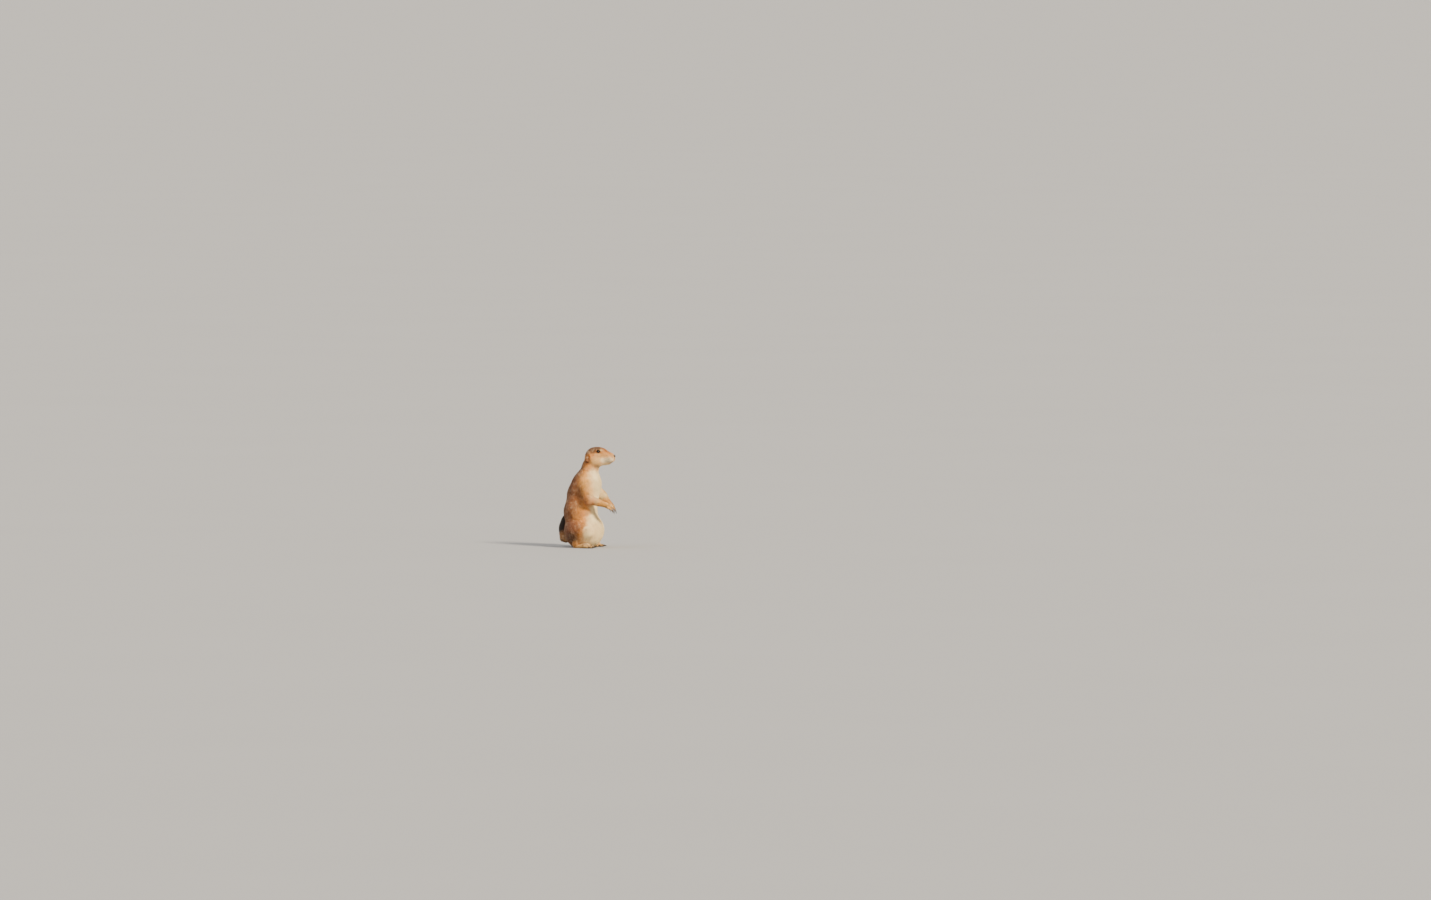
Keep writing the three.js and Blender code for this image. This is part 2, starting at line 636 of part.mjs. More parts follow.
function buildTail() {
  const base = skin(...TAIL_REACH, FOREARM_CELL).intersect(tailTerritory.limb);
  place("tail_base", base.intersect(short(CUTS.tailEnd, GAP / 2)), "back_fur");

  // The brush: where it is along the tail's middle line, from its root to its end, and how wide it is there
  const line = new THREE.CatmullRomCurve3(TAIL.map(([p]) => new THREE.Vector3(...p)));
  const length = line.getLength();
  const stations = line.getLengths(200);
  const widest = TAIL.map(([, r], i) => [stations[(200 * i) / (TAIL.length - 1)], r]);
  const middleAt = (s) => line.getPointAt(Math.min(s / length, 1)).toArray();
  const alongAt = (s) => unit(line.getTangentAt(Math.min(s / length, 1)).toArray());
  const radiusAt = (s) => {
    const i = Math.max(1, widest.findIndex(([at]) => at >= Math.min(s, length)));
    const [[s0, r0], [s1, r1]] = [widest[i - 1], widest[i]];
    return r0 + ((r1 - r0) * (Math.min(s, length) - s0)) / (s1 - s0);
  };
  const pastCut = (s) => dot(sub(middleAt(s), CUTS.tailEnd.at), CUTS.tailEnd.out) > 0;
  const cutAt = stations.find(pastCut);
  const last = length - BRUSH.bare;
  const STEPS = 9;
  const bones = [...Array(STEPS + 1).keys()].map((i) => cutAt - 6 + ((last - cutAt + 6) * i) / STEPS);
  const coreWidths = bones.map((s) => BRUSH.core * radiusAt(s));
  let brush = tube(bones.map(middleAt), coreWidths, 10, 1, [0.2, 1, 0]);
  for (let ring = 0; ring < BRUSH.rings; ring++)
    for (let k = 0; k < BRUSH.around; k++) {
      const start = cutAt - 15 + ((last - cutAt + 11) * (ring + 0.35 * random())) / (BRUSH.rings - 1);
      const turn = (2 * Math.PI * (k + 0.5 * (ring % 2) + 0.3 * random())) / BRUSH.around;
      const reach = BRUSH.length * (0.88 + 0.2 * random());
      const half = BRUSH.width * (0.42 + 0.12 * random());
      const PROFILE = [[0, 0.55], [0.22, 0.95], [0.6, 1], [1, 0.12]];
      let out;
      const points = PROFILE.map(([t]) => {
        const s = start + reach * t;
        const along = alongAt(s);
        const aside = unit(cross(along, [0.2, 1, 0]));
        const over = cross(along, aside);
        out = add(scale(aside, Math.cos(turn)), scale(over, Math.sin(turn)));
        const lift = BRUSH.fullness - 0.32 - 0.08 * (ring % 2);
        const rise = BRUSH.core - 0.22 + lift * Math.min(1, t * 2) ** 0.7;
        const past = Math.max(0, s - length);
        return add(add(middleAt(s), scale(along, past)), scale(out, rise * radiusAt(s)));
      });
      const widths = PROFILE.map(([, w]) => w * half);
      brush = brush.add(tube(points, widths, 4, BRUSH.thickness / (2 * half), out));
    }
  place("tail_tip", brush.intersect(beyond(CUTS.tailEnd, GAP / 2)), "tail_black");
}

// A claw: a curved cone that grows out of a digit and bends down.
function buildClaws(prefix, paw, box, cell, droop) {
  const around = skin(...box, cell, GAP + 0.1 * cell);
  paw.digits.forEach(({ a, b, r, claw, frame }, i) => {
    const along = unit(sub(b, a));
    const STEPS = 4;
    const points = [];
    const radii = [];
    for (let k = 0; k <= STEPS; k++) {
      const t = k / STEPS;
      const out = (claw + 1.4 * r) * t - 0.4 * r;
      const rise = 0.25 * r - droop * claw * t * t;
      points.push(add(add(b, scale(along, out)), scale(frame.up, rise)));
      radii.push(Math.max(0.25, 0.62 * r * (1 - t) ** 0.8));
    }
    const horn = tube(points, radii, 6, 1.25, frame.up);
    place(`${prefix}_claw_${i + 1}`, horn.subtract(around).intersect(floor), "claw");
  });
}

function buildArms() {
  for (const [name, side] of Object.entries(SIDES)) {
    const { shoulder, elbow, wrist, tips } = ARMS[name];
    const own = armTerritory[name].limb;
    const wristCut = { at: wrist, out: sub(tips, wrist) };
    const bend = add(unit(sub(elbow, shoulder)), unit(sub(wrist, elbow)));
    const elbowCut = { at: mix(elbow, wrist, 0.1), out: bend };
    const upper = skin(...ARM_REACH(side), LIMB_CELL).intersect(own).intersect(short(elbowCut, GAP / 2));
    place(`upper_arm_${name}`, upper, "back_fur");
    const lower = skin(...reach(side, [10, 4, 94], [96, 66, 166]), FOREARM_CELL).intersect(own);
    const forearm = lower.intersect(beyond(elbowCut, GAP / 2)).intersect(short(wristCut, GAP / 2));
    place(`forearm_${name}`, forearm, "back_fur");
    const box = reach(side, [56, 2, 90], [108, 46, 132]);
    const hand = skin(...box, HAND_CELL).intersect(own).intersect(beyond(wristCut, GAP / 2));
    place(`hand_${name}`, hand, "back_fur");
    buildClaws(`hand_${name}`, hands[name], box, HAND_CELL, 0.4);
  }
}

function buildLegs() {
  const knee = { at: [0, 0, 28], out: [-0.1, 0, 1] };
  const ankle = { at: [0, 0, 13.5], out: [0, 0, 1] };
  for (const [name, side] of Object.entries(SIDES)) {
    const own = legTerritory[name].limb;
    const leg = skin(...LEG_REACH(side), LIMB_CELL).intersect(own).subtract(tailTerritory.hollow);
    const shank = leg.intersect(short(knee, GAP / 2)).intersect(beyond(ankle, GAP / 2));
    place(`thigh_${name}`, leg.intersect(beyond(knee, GAP / 2)), "back_fur");
    place(`shank_${name}`, shank, "back_fur");
    const box = reach(side, [-30, 10, -4], [66, 66, 24]);
    const foot = skin(...box, FOOT_CELL).intersect(own).intersect(floor).intersect(short(ankle, GAP / 2));
    place(`foot_${name}`, foot, "belly_fur");
    buildClaws(`foot_${name}`, feet[name], box, FOOT_CELL, 0.12);
  }
}

// The groove of the mouth runs round the front of the muzzle from corner to corner.
function mouthGroove() {
  const half = MOUTH.map((p) => settle(headField, p, 6));
  const line = [...half.slice(1).reverse(), ...half.map((p) => onSide(p, -1))];
  const curve = new THREE.CatmullRomCurve3(line.map((p) => new THREE.Vector3(...p)));
  const STEPS = 20;
  const points = curve.getPoints(STEPS).map((p) => settle(headField, p.toArray(), 4));
  const radii = points.map((p, i) => 0.35 + 0.75 * Math.sin((Math.PI * (i + 0.6)) / (STEPS + 1.2)) ** 0.5);
  return tube(points, radii, 6).transform(headMatrix.elements);
}

function buildHead() {
  const turned = (solid) => solid.transform(headMatrix.elements);
  const none = new THREE.Matrix4();
  let head = skin([-12, -38, 204], [100, 48, 288], FACE_CELL).intersect(beyond(CUTS.head, GAP / 2));
  const nose = (clearance) => turned(egg(NOSE_AT, [3.6, 4.8, 3.9], clearance, none, [16, 10]));
  head = head.subtract(nose(GAP)).subtract(mouthGroove());
  let pad = nose(0);
  for (const [name, side] of Object.entries(SIDES)) {
    const nostril = turned(egg(onSide([88.6, 3.1, 251.6], side), [2.6, 1.2, 1.3], 0, none, [10, 6]));
    pad = pad.subtract(nostril);
    const eyeAt = onSide(EYE_AT, side);
    const looks = onSide(EYE_LOOKS, side);
    const turn = new THREE.Matrix4().makeRotationFromQuaternion(turnTo(looks));
    const eyeHalf = [EYE_RADIUS, EYE_RADIUS, EYE_RADIUS];
    const ball = (clearance) => turned(egg(eyeAt, eyeHalf, clearance, none, [16, 10]));
    const lid = turned(
      solidOf(
        new THREE.TorusGeometry(EYE_RADIUS * 0.84, 1.35, 6, 20)
          .scale(1.12, 0.94, 1)
          .applyMatrix4(turn)
          .translate(...add(eyeAt, scale(looks, EYE_RADIUS * 0.62))),
      ),
    );
    // The lids open to an almond with a narrow corner towards the nose.
    const ahead = (x, z) => add(add(eyeAt, scale(looks, EYE_RADIUS)), [x, 0, z]);
    const opening = turned(egg(ahead(0, 0), [4.9, 4.1, 3], 0, turn, [16, 8]));
    const corner = turned(egg(ahead(4.6, -0.9), [2.6, 1.1, 1.9], 0, turn, [10, 6]));
    head = head.add(lid).subtract(opening).subtract(corner).subtract(ball(GAP));
    place(`eye_${name}`, ball(0), "eye");
    const lie = new THREE.Euler(radians(-12 * side), radians(12), radians(-30 * side));
    const earTurn = new THREE.Matrix4().makeRotationFromEuler(lie);
    const earAt = onSide(EAR_AT, side);
    const flap = turned(egg(earAt, [6.2, 3.8, 7.4], 0, earTurn, [16, 12]));
    const cup = turned(egg(add(earAt, [2.2, 3.2 * side, 0]), [4.4, 3.4, 5.4], 0, earTurn, [12, 8]));
    const around = skin([-8, side > 0 ? 2 : -42, 224], [40, side > 0 ? 42 : -2, 268], FACE_CELL, GAP + 0.1);
    place(`ear_${name}`, flap.subtract(cup).subtract(around), "back_fur");
  }
  place("head", head, "back_fur");
  place("nose", pad, "nose_skin");
}

buildTrunk();
buildTail();
buildLegs();
buildArms();
buildHead();

// The origin lies on the floor under the middle of the whole.
const extent = new THREE.Box3().setFromObject(model);
const middle = extent.getCenter(new THREE.Vector3());
model.position.set(-middle.x, -middle.y, -extent.min.z);

export default model;
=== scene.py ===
"""A still, life-size prairie dog that sits upright on its haunches, as a museum shows it.

Its shapes are worked out in millimetres in the animal's own frame: +X is the way it faces, +Y its left and
+Z up. A mesh is made in metres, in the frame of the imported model. One skin, inside the solids by the coat's
depth, stands for the flesh, and the coat lies over it in thin tufts.
"""

from __future__ import annotations

import logging
import math
from dataclasses import dataclass, field
from enum import Enum
from typing import Any, Callable, Sequence

import bpy
import numpy as np
from mathutils import Matrix, Vector

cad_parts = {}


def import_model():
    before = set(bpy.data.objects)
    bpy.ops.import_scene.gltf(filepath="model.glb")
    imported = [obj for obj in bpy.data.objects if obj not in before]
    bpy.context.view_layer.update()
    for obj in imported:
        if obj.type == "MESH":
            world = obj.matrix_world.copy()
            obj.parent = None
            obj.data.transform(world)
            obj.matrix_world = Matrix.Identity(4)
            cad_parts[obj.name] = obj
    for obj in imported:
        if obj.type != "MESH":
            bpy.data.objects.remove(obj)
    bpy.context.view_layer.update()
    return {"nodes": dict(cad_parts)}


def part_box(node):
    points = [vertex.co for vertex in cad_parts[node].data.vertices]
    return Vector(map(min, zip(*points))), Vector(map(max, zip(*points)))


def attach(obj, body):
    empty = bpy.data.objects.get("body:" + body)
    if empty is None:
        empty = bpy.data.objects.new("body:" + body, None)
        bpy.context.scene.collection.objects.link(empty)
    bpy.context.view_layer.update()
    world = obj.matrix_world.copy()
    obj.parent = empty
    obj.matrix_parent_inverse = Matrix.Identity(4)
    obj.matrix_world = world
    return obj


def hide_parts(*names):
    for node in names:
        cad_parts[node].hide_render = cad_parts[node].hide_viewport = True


LOG = logging.getLogger("prairie_dog")
MM = 0.001
BODY = "root"
SIDES = {"left": 1.0, "right": -1.0}
DOWN = (0.0, 0.0, -1.0)

Pair = tuple[float, float]
Triple = tuple[float, float, float]
Points = np.ndarray
Values = np.ndarray


def vec(p: Sequence[float]) -> Points:
    """A point or direction as an array."""
    return np.asarray(p, dtype=float)


def unit(v: Points) -> Points:
    """The same directions, one long."""
    return v / np.maximum(np.linalg.norm(v, axis=-1, keepdims=True), 1e-9)


def on_side(p: Sequence[float], side: float) -> Points:
    """A point of the left side, or its mirror image on the right."""
    return vec(p) * (1.0, side, 1.0)


def on_left(p: Points) -> Points:
    """Points of both halves, each as the point like it on the left."""
    return p * (1, 0, 1) + np.abs(p) * (0, 1, 0)


def away_from(at: Sequence[float], p: Points) -> Values:
    """How far points are from a place."""
    return np.linalg.norm(p - vec(at), axis=1)


def soft_min(a: Values, b: Values, width: float) -> Values:
    """The smaller of two distances, with a fillet of some width where they are alike."""
    h = np.maximum(width - np.abs(a - b), 0.0) / width
    return np.minimum(a, b) - h * h * width * 0.25


def soft_max(a: Values, b: Values, width: float) -> Values:
    """The larger of two distances, with a fillet of some width where they are alike."""
    return -soft_min(-a, -b, width)


def ramp(v: Values, low: float, high: float) -> Values:
    """Runs smoothly from 0 at low to 1 at high."""
    t = np.clip((v - low) / (high - low), 0.0, 1.0)
    return t * t * (3.0 - 2.0 * t)


def turned(x: float, y: float, z: float) -> Points:
    """The matrix that turns by degrees about Z, then Y, then X.

    Args:
        x: The turn about X.
        y: The turn about Y.
        z: The turn about Z.

    Returns:
        The matrix, for points in rows.
    """
    turns = ((x, "X"), (y, "Y"), (z, "Z"))
    a, b, c = (Matrix.Rotation(math.radians(angle), 3, axis) for angle, axis in turns)
    return np.array(a @ b @ c)


@dataclass(frozen=True)
class Egg:
    """An ellipsoid, whose top leans forward by so many degrees, or which is turned by a matrix."""

    at: Triple
    half: Triple
    lean: float = 0.0
    turn: Points | None = None
    lie: Triple = DOWN

    def distance(self, p: Points) -> Values:
        """How far each point is outside.

        Args:
            p: The points.

        Returns:
            The distances, below zero inside.
        """
        turn = turned(0.0, self.lean, 0.0) if self.turn is None else self.turn
        local = (p - vec(self.at)) @ turn / vec(self.half)
        near = np.linalg.norm(local, axis=1)
        slope = np.linalg.norm(local / vec(self.half), axis=1)
        return near * (near - 1.0) / np.maximum(slope, 1e-9)

    def reach(self) -> tuple[Points, Points]:
        """The lowest and highest corner of a box that holds it."""
        most = max(self.half)
        return vec(self.at) - most, vec(self.at) + most


@dataclass(frozen=True)
class Limb:
    """A round-ended limb that tapers from radius ra at a to rb at b."""

    a: Sequence[float]
    b: Sequence[float]
    ra: float
    rb: float

    @property
    def lie(self) -> Points:
        """The way its coat runs."""
        return unit(vec(self.b) - vec(self.a))

    def distance(self, p: Points) -> Values:
        """How far each point is outside.

        Args:
            p: The points.

        Returns:
            The distances, below zero inside.
        """
        ba = vec(self.b) - vec(self.a)
        l2 = float(ba @ ba)
        rr = self.ra - self.rb
        a2 = l2 - rr * rr
        pa = p - vec(self.a)
        along = pa @ ba
        past = along - l2
        across = ((pa * l2 - along[:, None] * ba) ** 2).sum(1)
        y2 = along * along * l2
        z2 = past * past * l2
        k = math.copysign(1.0, rr) * rr * rr * across if rr else np.zeros(len(p))
        side = (np.sqrt(across * a2 / l2) + along * rr) / l2 - self.ra
        end_b = np.sqrt(across + z2) / l2 - self.rb
        end_a = np.sqrt(across + y2) / l2 - self.ra
        d = np.where(np.sign(along) * a2 * y2 < k, end_a, side)
        return np.where(np.sign(past) * a2 * z2 > k, end_b, d)

    def reach(self) -> tuple[Points, Points]:
        """The lowest and highest corner of a box that holds it."""
        most = max(self.ra, self.rb)
        return np.minimum(self.a, self.b) - most, np.maximum(self.a, self.b) + most


class Region(Enum):
    """The parts of the body that differ in their coat."""

    TRUNK = "trunk"
    HEAD = "head"
    LEG = "leg"
    ARM = "arm"
    FOOT = "foot"
    HAND = "hand"
    TAIL = "tail"


@dataclass
class Form:
    """Shapes melted into one."""

    shapes: Sequence[Any]
    fillet: float
    join: float = 10.0
    region: Region = Region.TRUNK
    MARGIN = 14.0

    def distance(self, p: Points) -> Values:
        """How far each point is outside.

        Args:
            p: The points.

        Returns:
            The distances, below zero inside.
        """
        d = self.shapes[0].distance(p)
        for shape in self.shapes[1:]:
            d = soft_min(d, shape.distance(p), self.fillet)
        return d

    def reach(self) -> tuple[Points, Points]:
        """The lowest and highest corner of a box that holds it."""
        boxes = [shape.reach() for shape in self.shapes]
        return np.min([low for low, _ in boxes], 0), np.max([high for _, high in boxes], 0)

    def near(self, p: Points) -> np.ndarray:
        """Which points are close enough for the form to matter."""
        low, high = self.reach()
        return ((p > low - self.MARGIN) & (p < high + self.MARGIN)).all(1)

    def leaves(self) -> list[Any]:
        """The single shapes in it."""
        return [leaf for s in self.shapes for leaf in (s.leaves() if isinstance(s, Form) else [s])]


@dataclass(frozen=True)
class Digit:
    """A finger or toe from a to b, with its claw."""

    a: Points
    b: Points
    radius: float
    claw: float
    up: Points


@dataclass(frozen=True)
class Paw:
    """A paw's own directions, and where its digits lie."""

    start: Points
    forward: Points
    out: Points
    up: Points

    @classmethod
    def between(cls, start: Points, end: Points, up: Sequence[float]) -> Paw:
        """The directions of a paw from its start to its end, with its back facing up.

        Args:
            start: The wrist or heel.
            end: The far end.
            up: Roughly the way that its back faces.

        Returns:
            The paw.
        """
        forward = unit(end - start)
        out = unit(np.cross(up, forward))
        return cls(start, forward, out, np.cross(forward, out))

    def at(self, ahead: float, aside: float, above: float) -> Points:
        """The place so far ahead of the start, aside and above."""
        return self.start + self.forward * ahead + self.out * aside + self.up * above

    def digits(self, rows: Sequence[Any], inner: float, heights: Pair, claw: float) -> list[Digit]:
        """Its fingers or toes.

        Args:
            rows: How far aside each lies, its root, tip and radius, and its share of the longest claw.
            inner: 1 or -1, for the side that the first of them lies on.
            heights: The height of their roots and tips over the paw's middle line.
            claw: The length of the longest claw.

        Returns:
            The digits, from the inner one to the outer one.
        """
        made = []
        for aside, root, tip, radius, share in rows:
            a, b = (self.at(n, aside * inner, height) for n, height in zip((root, tip), heights))
            made.append(Digit(a, b, radius, share * claw, self.up))
        return made


@dataclass
class Anatomy:
    """The animal's proportions, out to the tips of its coat."""

    head_turn: float = 10.0
    head_pivot: Triple = (20.0, 0.0, 232.0)
    eye_radius: float = 6.4
    eye_at: Triple = (44.0, 14.1, 264.0)
    eye_looks: Triple = (0.26, 0.93, 0.24)
    ear_at: Triple = (17.0, 23.5, 245.0)
    ear_half: Triple = (6.2, 3.8, 7.4)
    ear_turn: Triple = (-12.0, 12.0, -30.0)
    nose_at: Triple = (86.2, 0.0, 252.2)
    nose_half: Triple = (3.6, 4.8, 3.9)
    mouth: Sequence[Triple] = (
        (86.0, 0.0, 239.5),
        (83.0, 5.5, 238.6),
        (77.0, 9.5, 237.2),
        (70.0, 13.0, 236.6),
        (64.0, 16.0, 237.4),
    )
    tail: Sequence[tuple[Triple, float]] = (
        ((-38.0, 1.0, 34.0), 13.0),
        ((-53.0, 6.0, 22.0), 9.5),
        ((-66.0, 16.0, 22.0), 8.5),
        ((-74.5, 28.0, 40.0), 9.0),
        ((-75.5, 36.0, 58.0), 8.5),
        ((-75.0, 41.0, 74.0), 3.0),
    )
    brush_at: Triple = (-72.0, 25.0, 34.0)
    brush_out: Triple = (-0.35, 0.45, 0.82)
    whorl: Triple = (97.0, 0.0, 247.0)
    fore_claw: float = 12.0
    hind_claw: float = 8.0
    arms: dict[str, dict[str, Triple]] = field(
        default_factory=lambda: {
            "left": {
                "shoulder": (17, 29, 167),
                "elbow": (39, 38, 141),
                "wrist": (69, 22, 119),
                "tips": (84, 18, 108),
            },
            "right": {
                "shoulder": (17, -29, 167),
                "elbow": (30, -38, 134),
                "wrist": (74, -23, 119),
                "tips": (89, -19, 109),
            },
        }
    )
    leg: dict[str, Triple] = field(
        default_factory=lambda: {
            "hip": (-14, 25, 50),
            "knee": (25, 40, 44),
            "ankle": (-6, 37, 15),
            "heel": (-9, 36, 7.5),
            "ball": (26, 39, 7),
        }
    )

    def __post_init__(self) -> None:
        """Makes the forms from the sizes."""
        self.digits: dict[str, list[Digit]] = {}
        self.trunk = Form(self._trunk_shapes(), 15.0)
        self.head = Form(self._head_shapes(), 7.0, region=Region.HEAD)
        self.forms = [Form([self.head], 1.0, 10.0, Region.HEAD)]
        self.forms += [Form(self._leg_shapes(side), 8.0, 9.0, Region.LEG) for side in SIDES.values()]
        self.forms += [Form(self._arm_shapes(name), 7.0, 8.0, Region.ARM) for name in SIDES]
        limbs = [Limb(a, b, ra, rb) for (a, ra), (b, rb) in zip(self.tail, self.tail[1:])]
        self.forms += [Form(limbs, 5.0, 8.0, Region.TAIL)]
        self.forms += [Form(self._foot_shapes(name), 1.4, 4.0, Region.FOOT) for name in SIDES]
        self.forms += [Form(self._hand_shapes(name), 1.1, 3.0, Region.HAND) for name in SIDES]

    def _trunk_shapes(self) -> list[Any]:
        """From the rump that it sits on to the top of its neck.

        Returns:
            The shapes, from below.
        """
        return [
            Egg((-12, 0, 45), (43, 44, 46)),
            Egg((7, 0, 48), (50, 46, 49)),
            Egg((-9, 0, 98), (47, 45, 52)),
            Egg((-2, 0, 143), (45, 38, 46), 8),
            Egg((6, 0, 170), (38, 37, 36), 10),
            Egg((18, 0, 178), (29, 31, 32)),
            Limb((21, 0, 222), (9, 0, 186), 21.5, 31),
        ]

    def _head_shapes(self) -> list[Any]:
        """The head as it looks straight ahead.

        Returns:
            The shapes: those of the middle, then those of each side.
        """
        shapes: list[Any] = [
            Limb((21, 0, 226), (28, 0, 246), 21, 21.5),
            Egg((32, 0, 252), (25.5, 24.5, 24.5)),
            Egg((46, 0, 259), (22, 17, 17.5), 12),
            Limb((56, 0, 259), (80, 0, 252), 12, 7.5),
            Limb((46, 0, 250), (78, 0, 246.5), 18.5, 9.5),
            Limb((42, 0, 238), (71, 0, 235), 13, 6.6),
        ]
        for side in SIDES.values():
            shapes += [
                Egg((37, 11 * side, 240), (21, 16.5, 17.5)),
                Egg((43, 12.9 * side, 266.2), (11, 5, 4.8)),
                Egg((77, 5.2 * side, 243.5), (9.5, 6.6, 7)),
            ]
        return shapes

    def _leg_shapes(self, side: float) -> list[Any]:
        """The haunch and the shank.

        Args:
            side: 1 for the left and -1 for the right.

        Returns:
            The shapes, from the hip down.
        """
        hip, knee, ankle, heel = (on_side(self.leg[n], side) for n in ("hip", "knee", "ankle", "heel"))
        haunch = Egg((0, 34 * side, 44), (32, 22, 31), -12, lie=(0.35, 0.0, -0.9))
        return [Limb(hip, knee, 28, 16), haunch, Limb(knee, ankle, 14, 10.5), Limb(ankle, heel, 10, 8)]

    def _arm_shapes(self, name: str) -> list[Any]:
        """The shoulder, the upper arm and the forearm.

        Args:
            name: The side, left or right.

        Returns:
            The shapes, from the shoulder down.
        """
        arm = self.arms[name]
        shoulder = vec(arm["shoulder"]) + (-2, -2 * SIDES[name], -2)
        return [
            Egg(tuple(shoulder + (0, SIDES[name], 0)), (19, 13, 25), 14, lie=(0.25, 0.0, -1.0)),
            Limb(arm["shoulder"], arm["elbow"], 15, 13),
            Limb(arm["elbow"], arm["wrist"], 13, 7),
        ]

    def _hand_shapes(self, name: str) -> list[Any]:
        """The palm and five fingers, from the inner one to the outer one.

        Args:
            name: The side, left or right.

        Returns:
            The palm, then the fingers.
        """
        fingers = (
            (6.3, 4, 9, 2.6, 0.45),
            (5.0, 9, 17.5, 2.6, 0.92),
            (0.2, 10, 19.5, 2.7, 1.0),
            (-4.8, 9, 17.5, 2.6, 0.92),
            (-8.6, 6, 12.5, 2.5, 0.7),
        )
        arm = self.arms[name]
        paw = Paw.between(vec(arm["wrist"]), vec(arm["tips"]), (0.7, 0, 0.7))
        digits = paw.digits(fingers, -SIDES[name], (0.4, -1.6), self.fore_claw)
        self.digits[f"hand_{name}"] = digits
        back = Limb(paw.at(-1, 0, 0), paw.at(8.5, 0, 0), 6.6, 6.2)
        knuckles = Limb(paw.at(8, 4.4, -0.6), paw.at(8, -4.4, -0.6), 4.6, 4.6)
        return [Form([back, knuckles], 4.0), *(Limb(d.a, d.b, d.radius, d.radius * 0.86) for d in digits)]

    def _foot_shapes(self, name: str) -> list[Any]:
        """The sole and five toes, from the inner one to the outer one.

        Args:
            name: The side, left or right.

        Returns:
            The sole, then the toes.
        """
        toes = (
            (10.2, 28, 38, 3.3, 0.8),
            (5.6, 33, 48, 3.5, 1.0),
            (0.2, 34, 51, 3.6, 1.0),
            (-5.2, 33, 48.5, 3.5, 1.0),
            (-9.8, 28, 39, 3.3, 0.8),
        )
        side = SIDES[name]
        heel = on_side(self.leg["heel"], side)
        ball = on_side(self.leg["ball"], side)
        end = on_side((self.leg["ball"][0] + 20, 41, self.leg["heel"][2]), side)
        paw = Paw.between(heel, end, (0, 0, 1))
        digits = paw.digits(toes, -side, (-1.5, -3.6), self.hind_claw)
        self.digits[f"foot_{name}"] = digits
        pad = Limb(paw.at(31, 6, -2.5), paw.at(31, -6, -2.5), 5, 5)
        sole = Form([Limb(heel, ball, 8, 8), pad], 5.0)
        return [sole, *(Limb(d.a, d.b, d.radius, d.radius * 0.88) for d in digits)]

    def straight(self, p: Points) -> Points:
        """Points of the world, turned back to where the straight head has them."""
        return (p - vec(self.head_pivot)) @ turned(0, 0, self.head_turn) + vec(self.head_pivot)

    def world(self, p: Points) -> Points:
        """Points of the straight head, turned to where they are in the world."""
        return (p - vec(self.head_pivot)) @ turned(0, 0, self.head_turn).T + vec(self.head_pivot)

    def outline(self, p: Points) -> tuple[Values, dict[Region, Values]]:
        """How far points are outside the coat's outline, in all and for each region alone.

        Args:
            p: The points.

        Returns:
            The distances from the whole body, and those from each of its regions.
        """
        parts = {Region.TRUNK: self.trunk.distance(p)}
        whole = parts[Region.TRUNK]
        for form in self.forms:
            far = np.full(len(p), 60.0)
            near = form.near(p)
            q = self.straight(p[near]) if form.region is Region.HEAD else p[near]
            far[near] = form.distance(q)
            whole = soft_min(whole, far, form.join)
            parts[form.region] = np.minimum(parts.get(form.region, far), far)
        return whole, parts

    def shares(self, parts: dict[Region, Values], softness: float = 4.0) -> dict[Region, Values]:
        """How much each region counts at each point, from 0 to 1.

        Args:
            parts: The regions' distances.
            softness: How far one region runs into the next.

        Returns:
            The shares, which add up to 1.
        """
        least = np.min(list(parts.values()), 0)
        weights = {region: np.exp((least - d) / softness) for region, d in parts.items()}
        total = sum(weights.values())
        return {region: w / total for region, w in weights.items()}

    def lies(self, p: Points, normals: Points) -> Points:
        """The way that the coat runs, at points of the skin.

        Args:
            p: The points.
            normals: The skin's directions outwards there.

        Returns:
            Directions along the skin.
        """
        total = np.zeros_like(p)
        least = np.min([form.distance(p) for form in self._all_forms()], 0)
        straight = self.straight(p)
        away = self._face_lies(straight)
        for form in self._all_forms():
            in_head = form.region is Region.HEAD
            soft = 2.0 if form.region in (Region.HAND, Region.FOOT) else 6.0
            for leaf in form.leaves():
                weight = np.exp((least - leaf.distance(straight if in_head else p)) / soft)
                total += weight[:, None] * (away if in_head else vec(leaf.lie))
        total -= (total * normals).sum(1)[:, None] * normals
        return unit(total)

    def _face_lies(self, straight: Points) -> Points:
        """The way that the head's coat runs: back from the nose, round the eyes, and down the neck.

        Args:
            straight: Points of the straight head.

        Returns:
            Directions in the world.
        """
        from_whorl = straight - self.whorl
        down = ramp(np.linalg.norm(from_whorl, axis=1), 58.0, 92.0)
        away = unit(from_whorl) + down[:, None] * (0.0, 0.0, -1.3)
        mirror = np.where(straight[:, 1:2] < 0, (1.0, -1.0, 1.0), 1.0)
        to_eye = vec(self.eye_at) - straight * mirror
        far = np.linalg.norm(to_eye, axis=1)
        near = 1 - ramp(far, 8.0, 15.0)
        close = 1 - ramp(far, 7.0, 10.5)
        to_eye = unit(to_eye) * mirror
        away -= (near * np.maximum((away * to_eye).sum(1), 0.0) * 1.15 + 1.3 * close)[:, None] * to_eye
        return away @ turned(0, 0, self.head_turn).T

    def _all_forms(self) -> list[Form]:
        """The trunk and all that melts into it."""
        return [self.trunk, *self.forms]


@dataclass(frozen=True)
class Coat:
    """How the hair grows: lengths in millimetres, and tufts on a square millimetre."""

    depth: float
    length: float
    width: float
    density: float

    @property
    def row(self) -> Points:
        """Its values in one row."""
        return vec([self.depth, self.length, self.width, self.density])


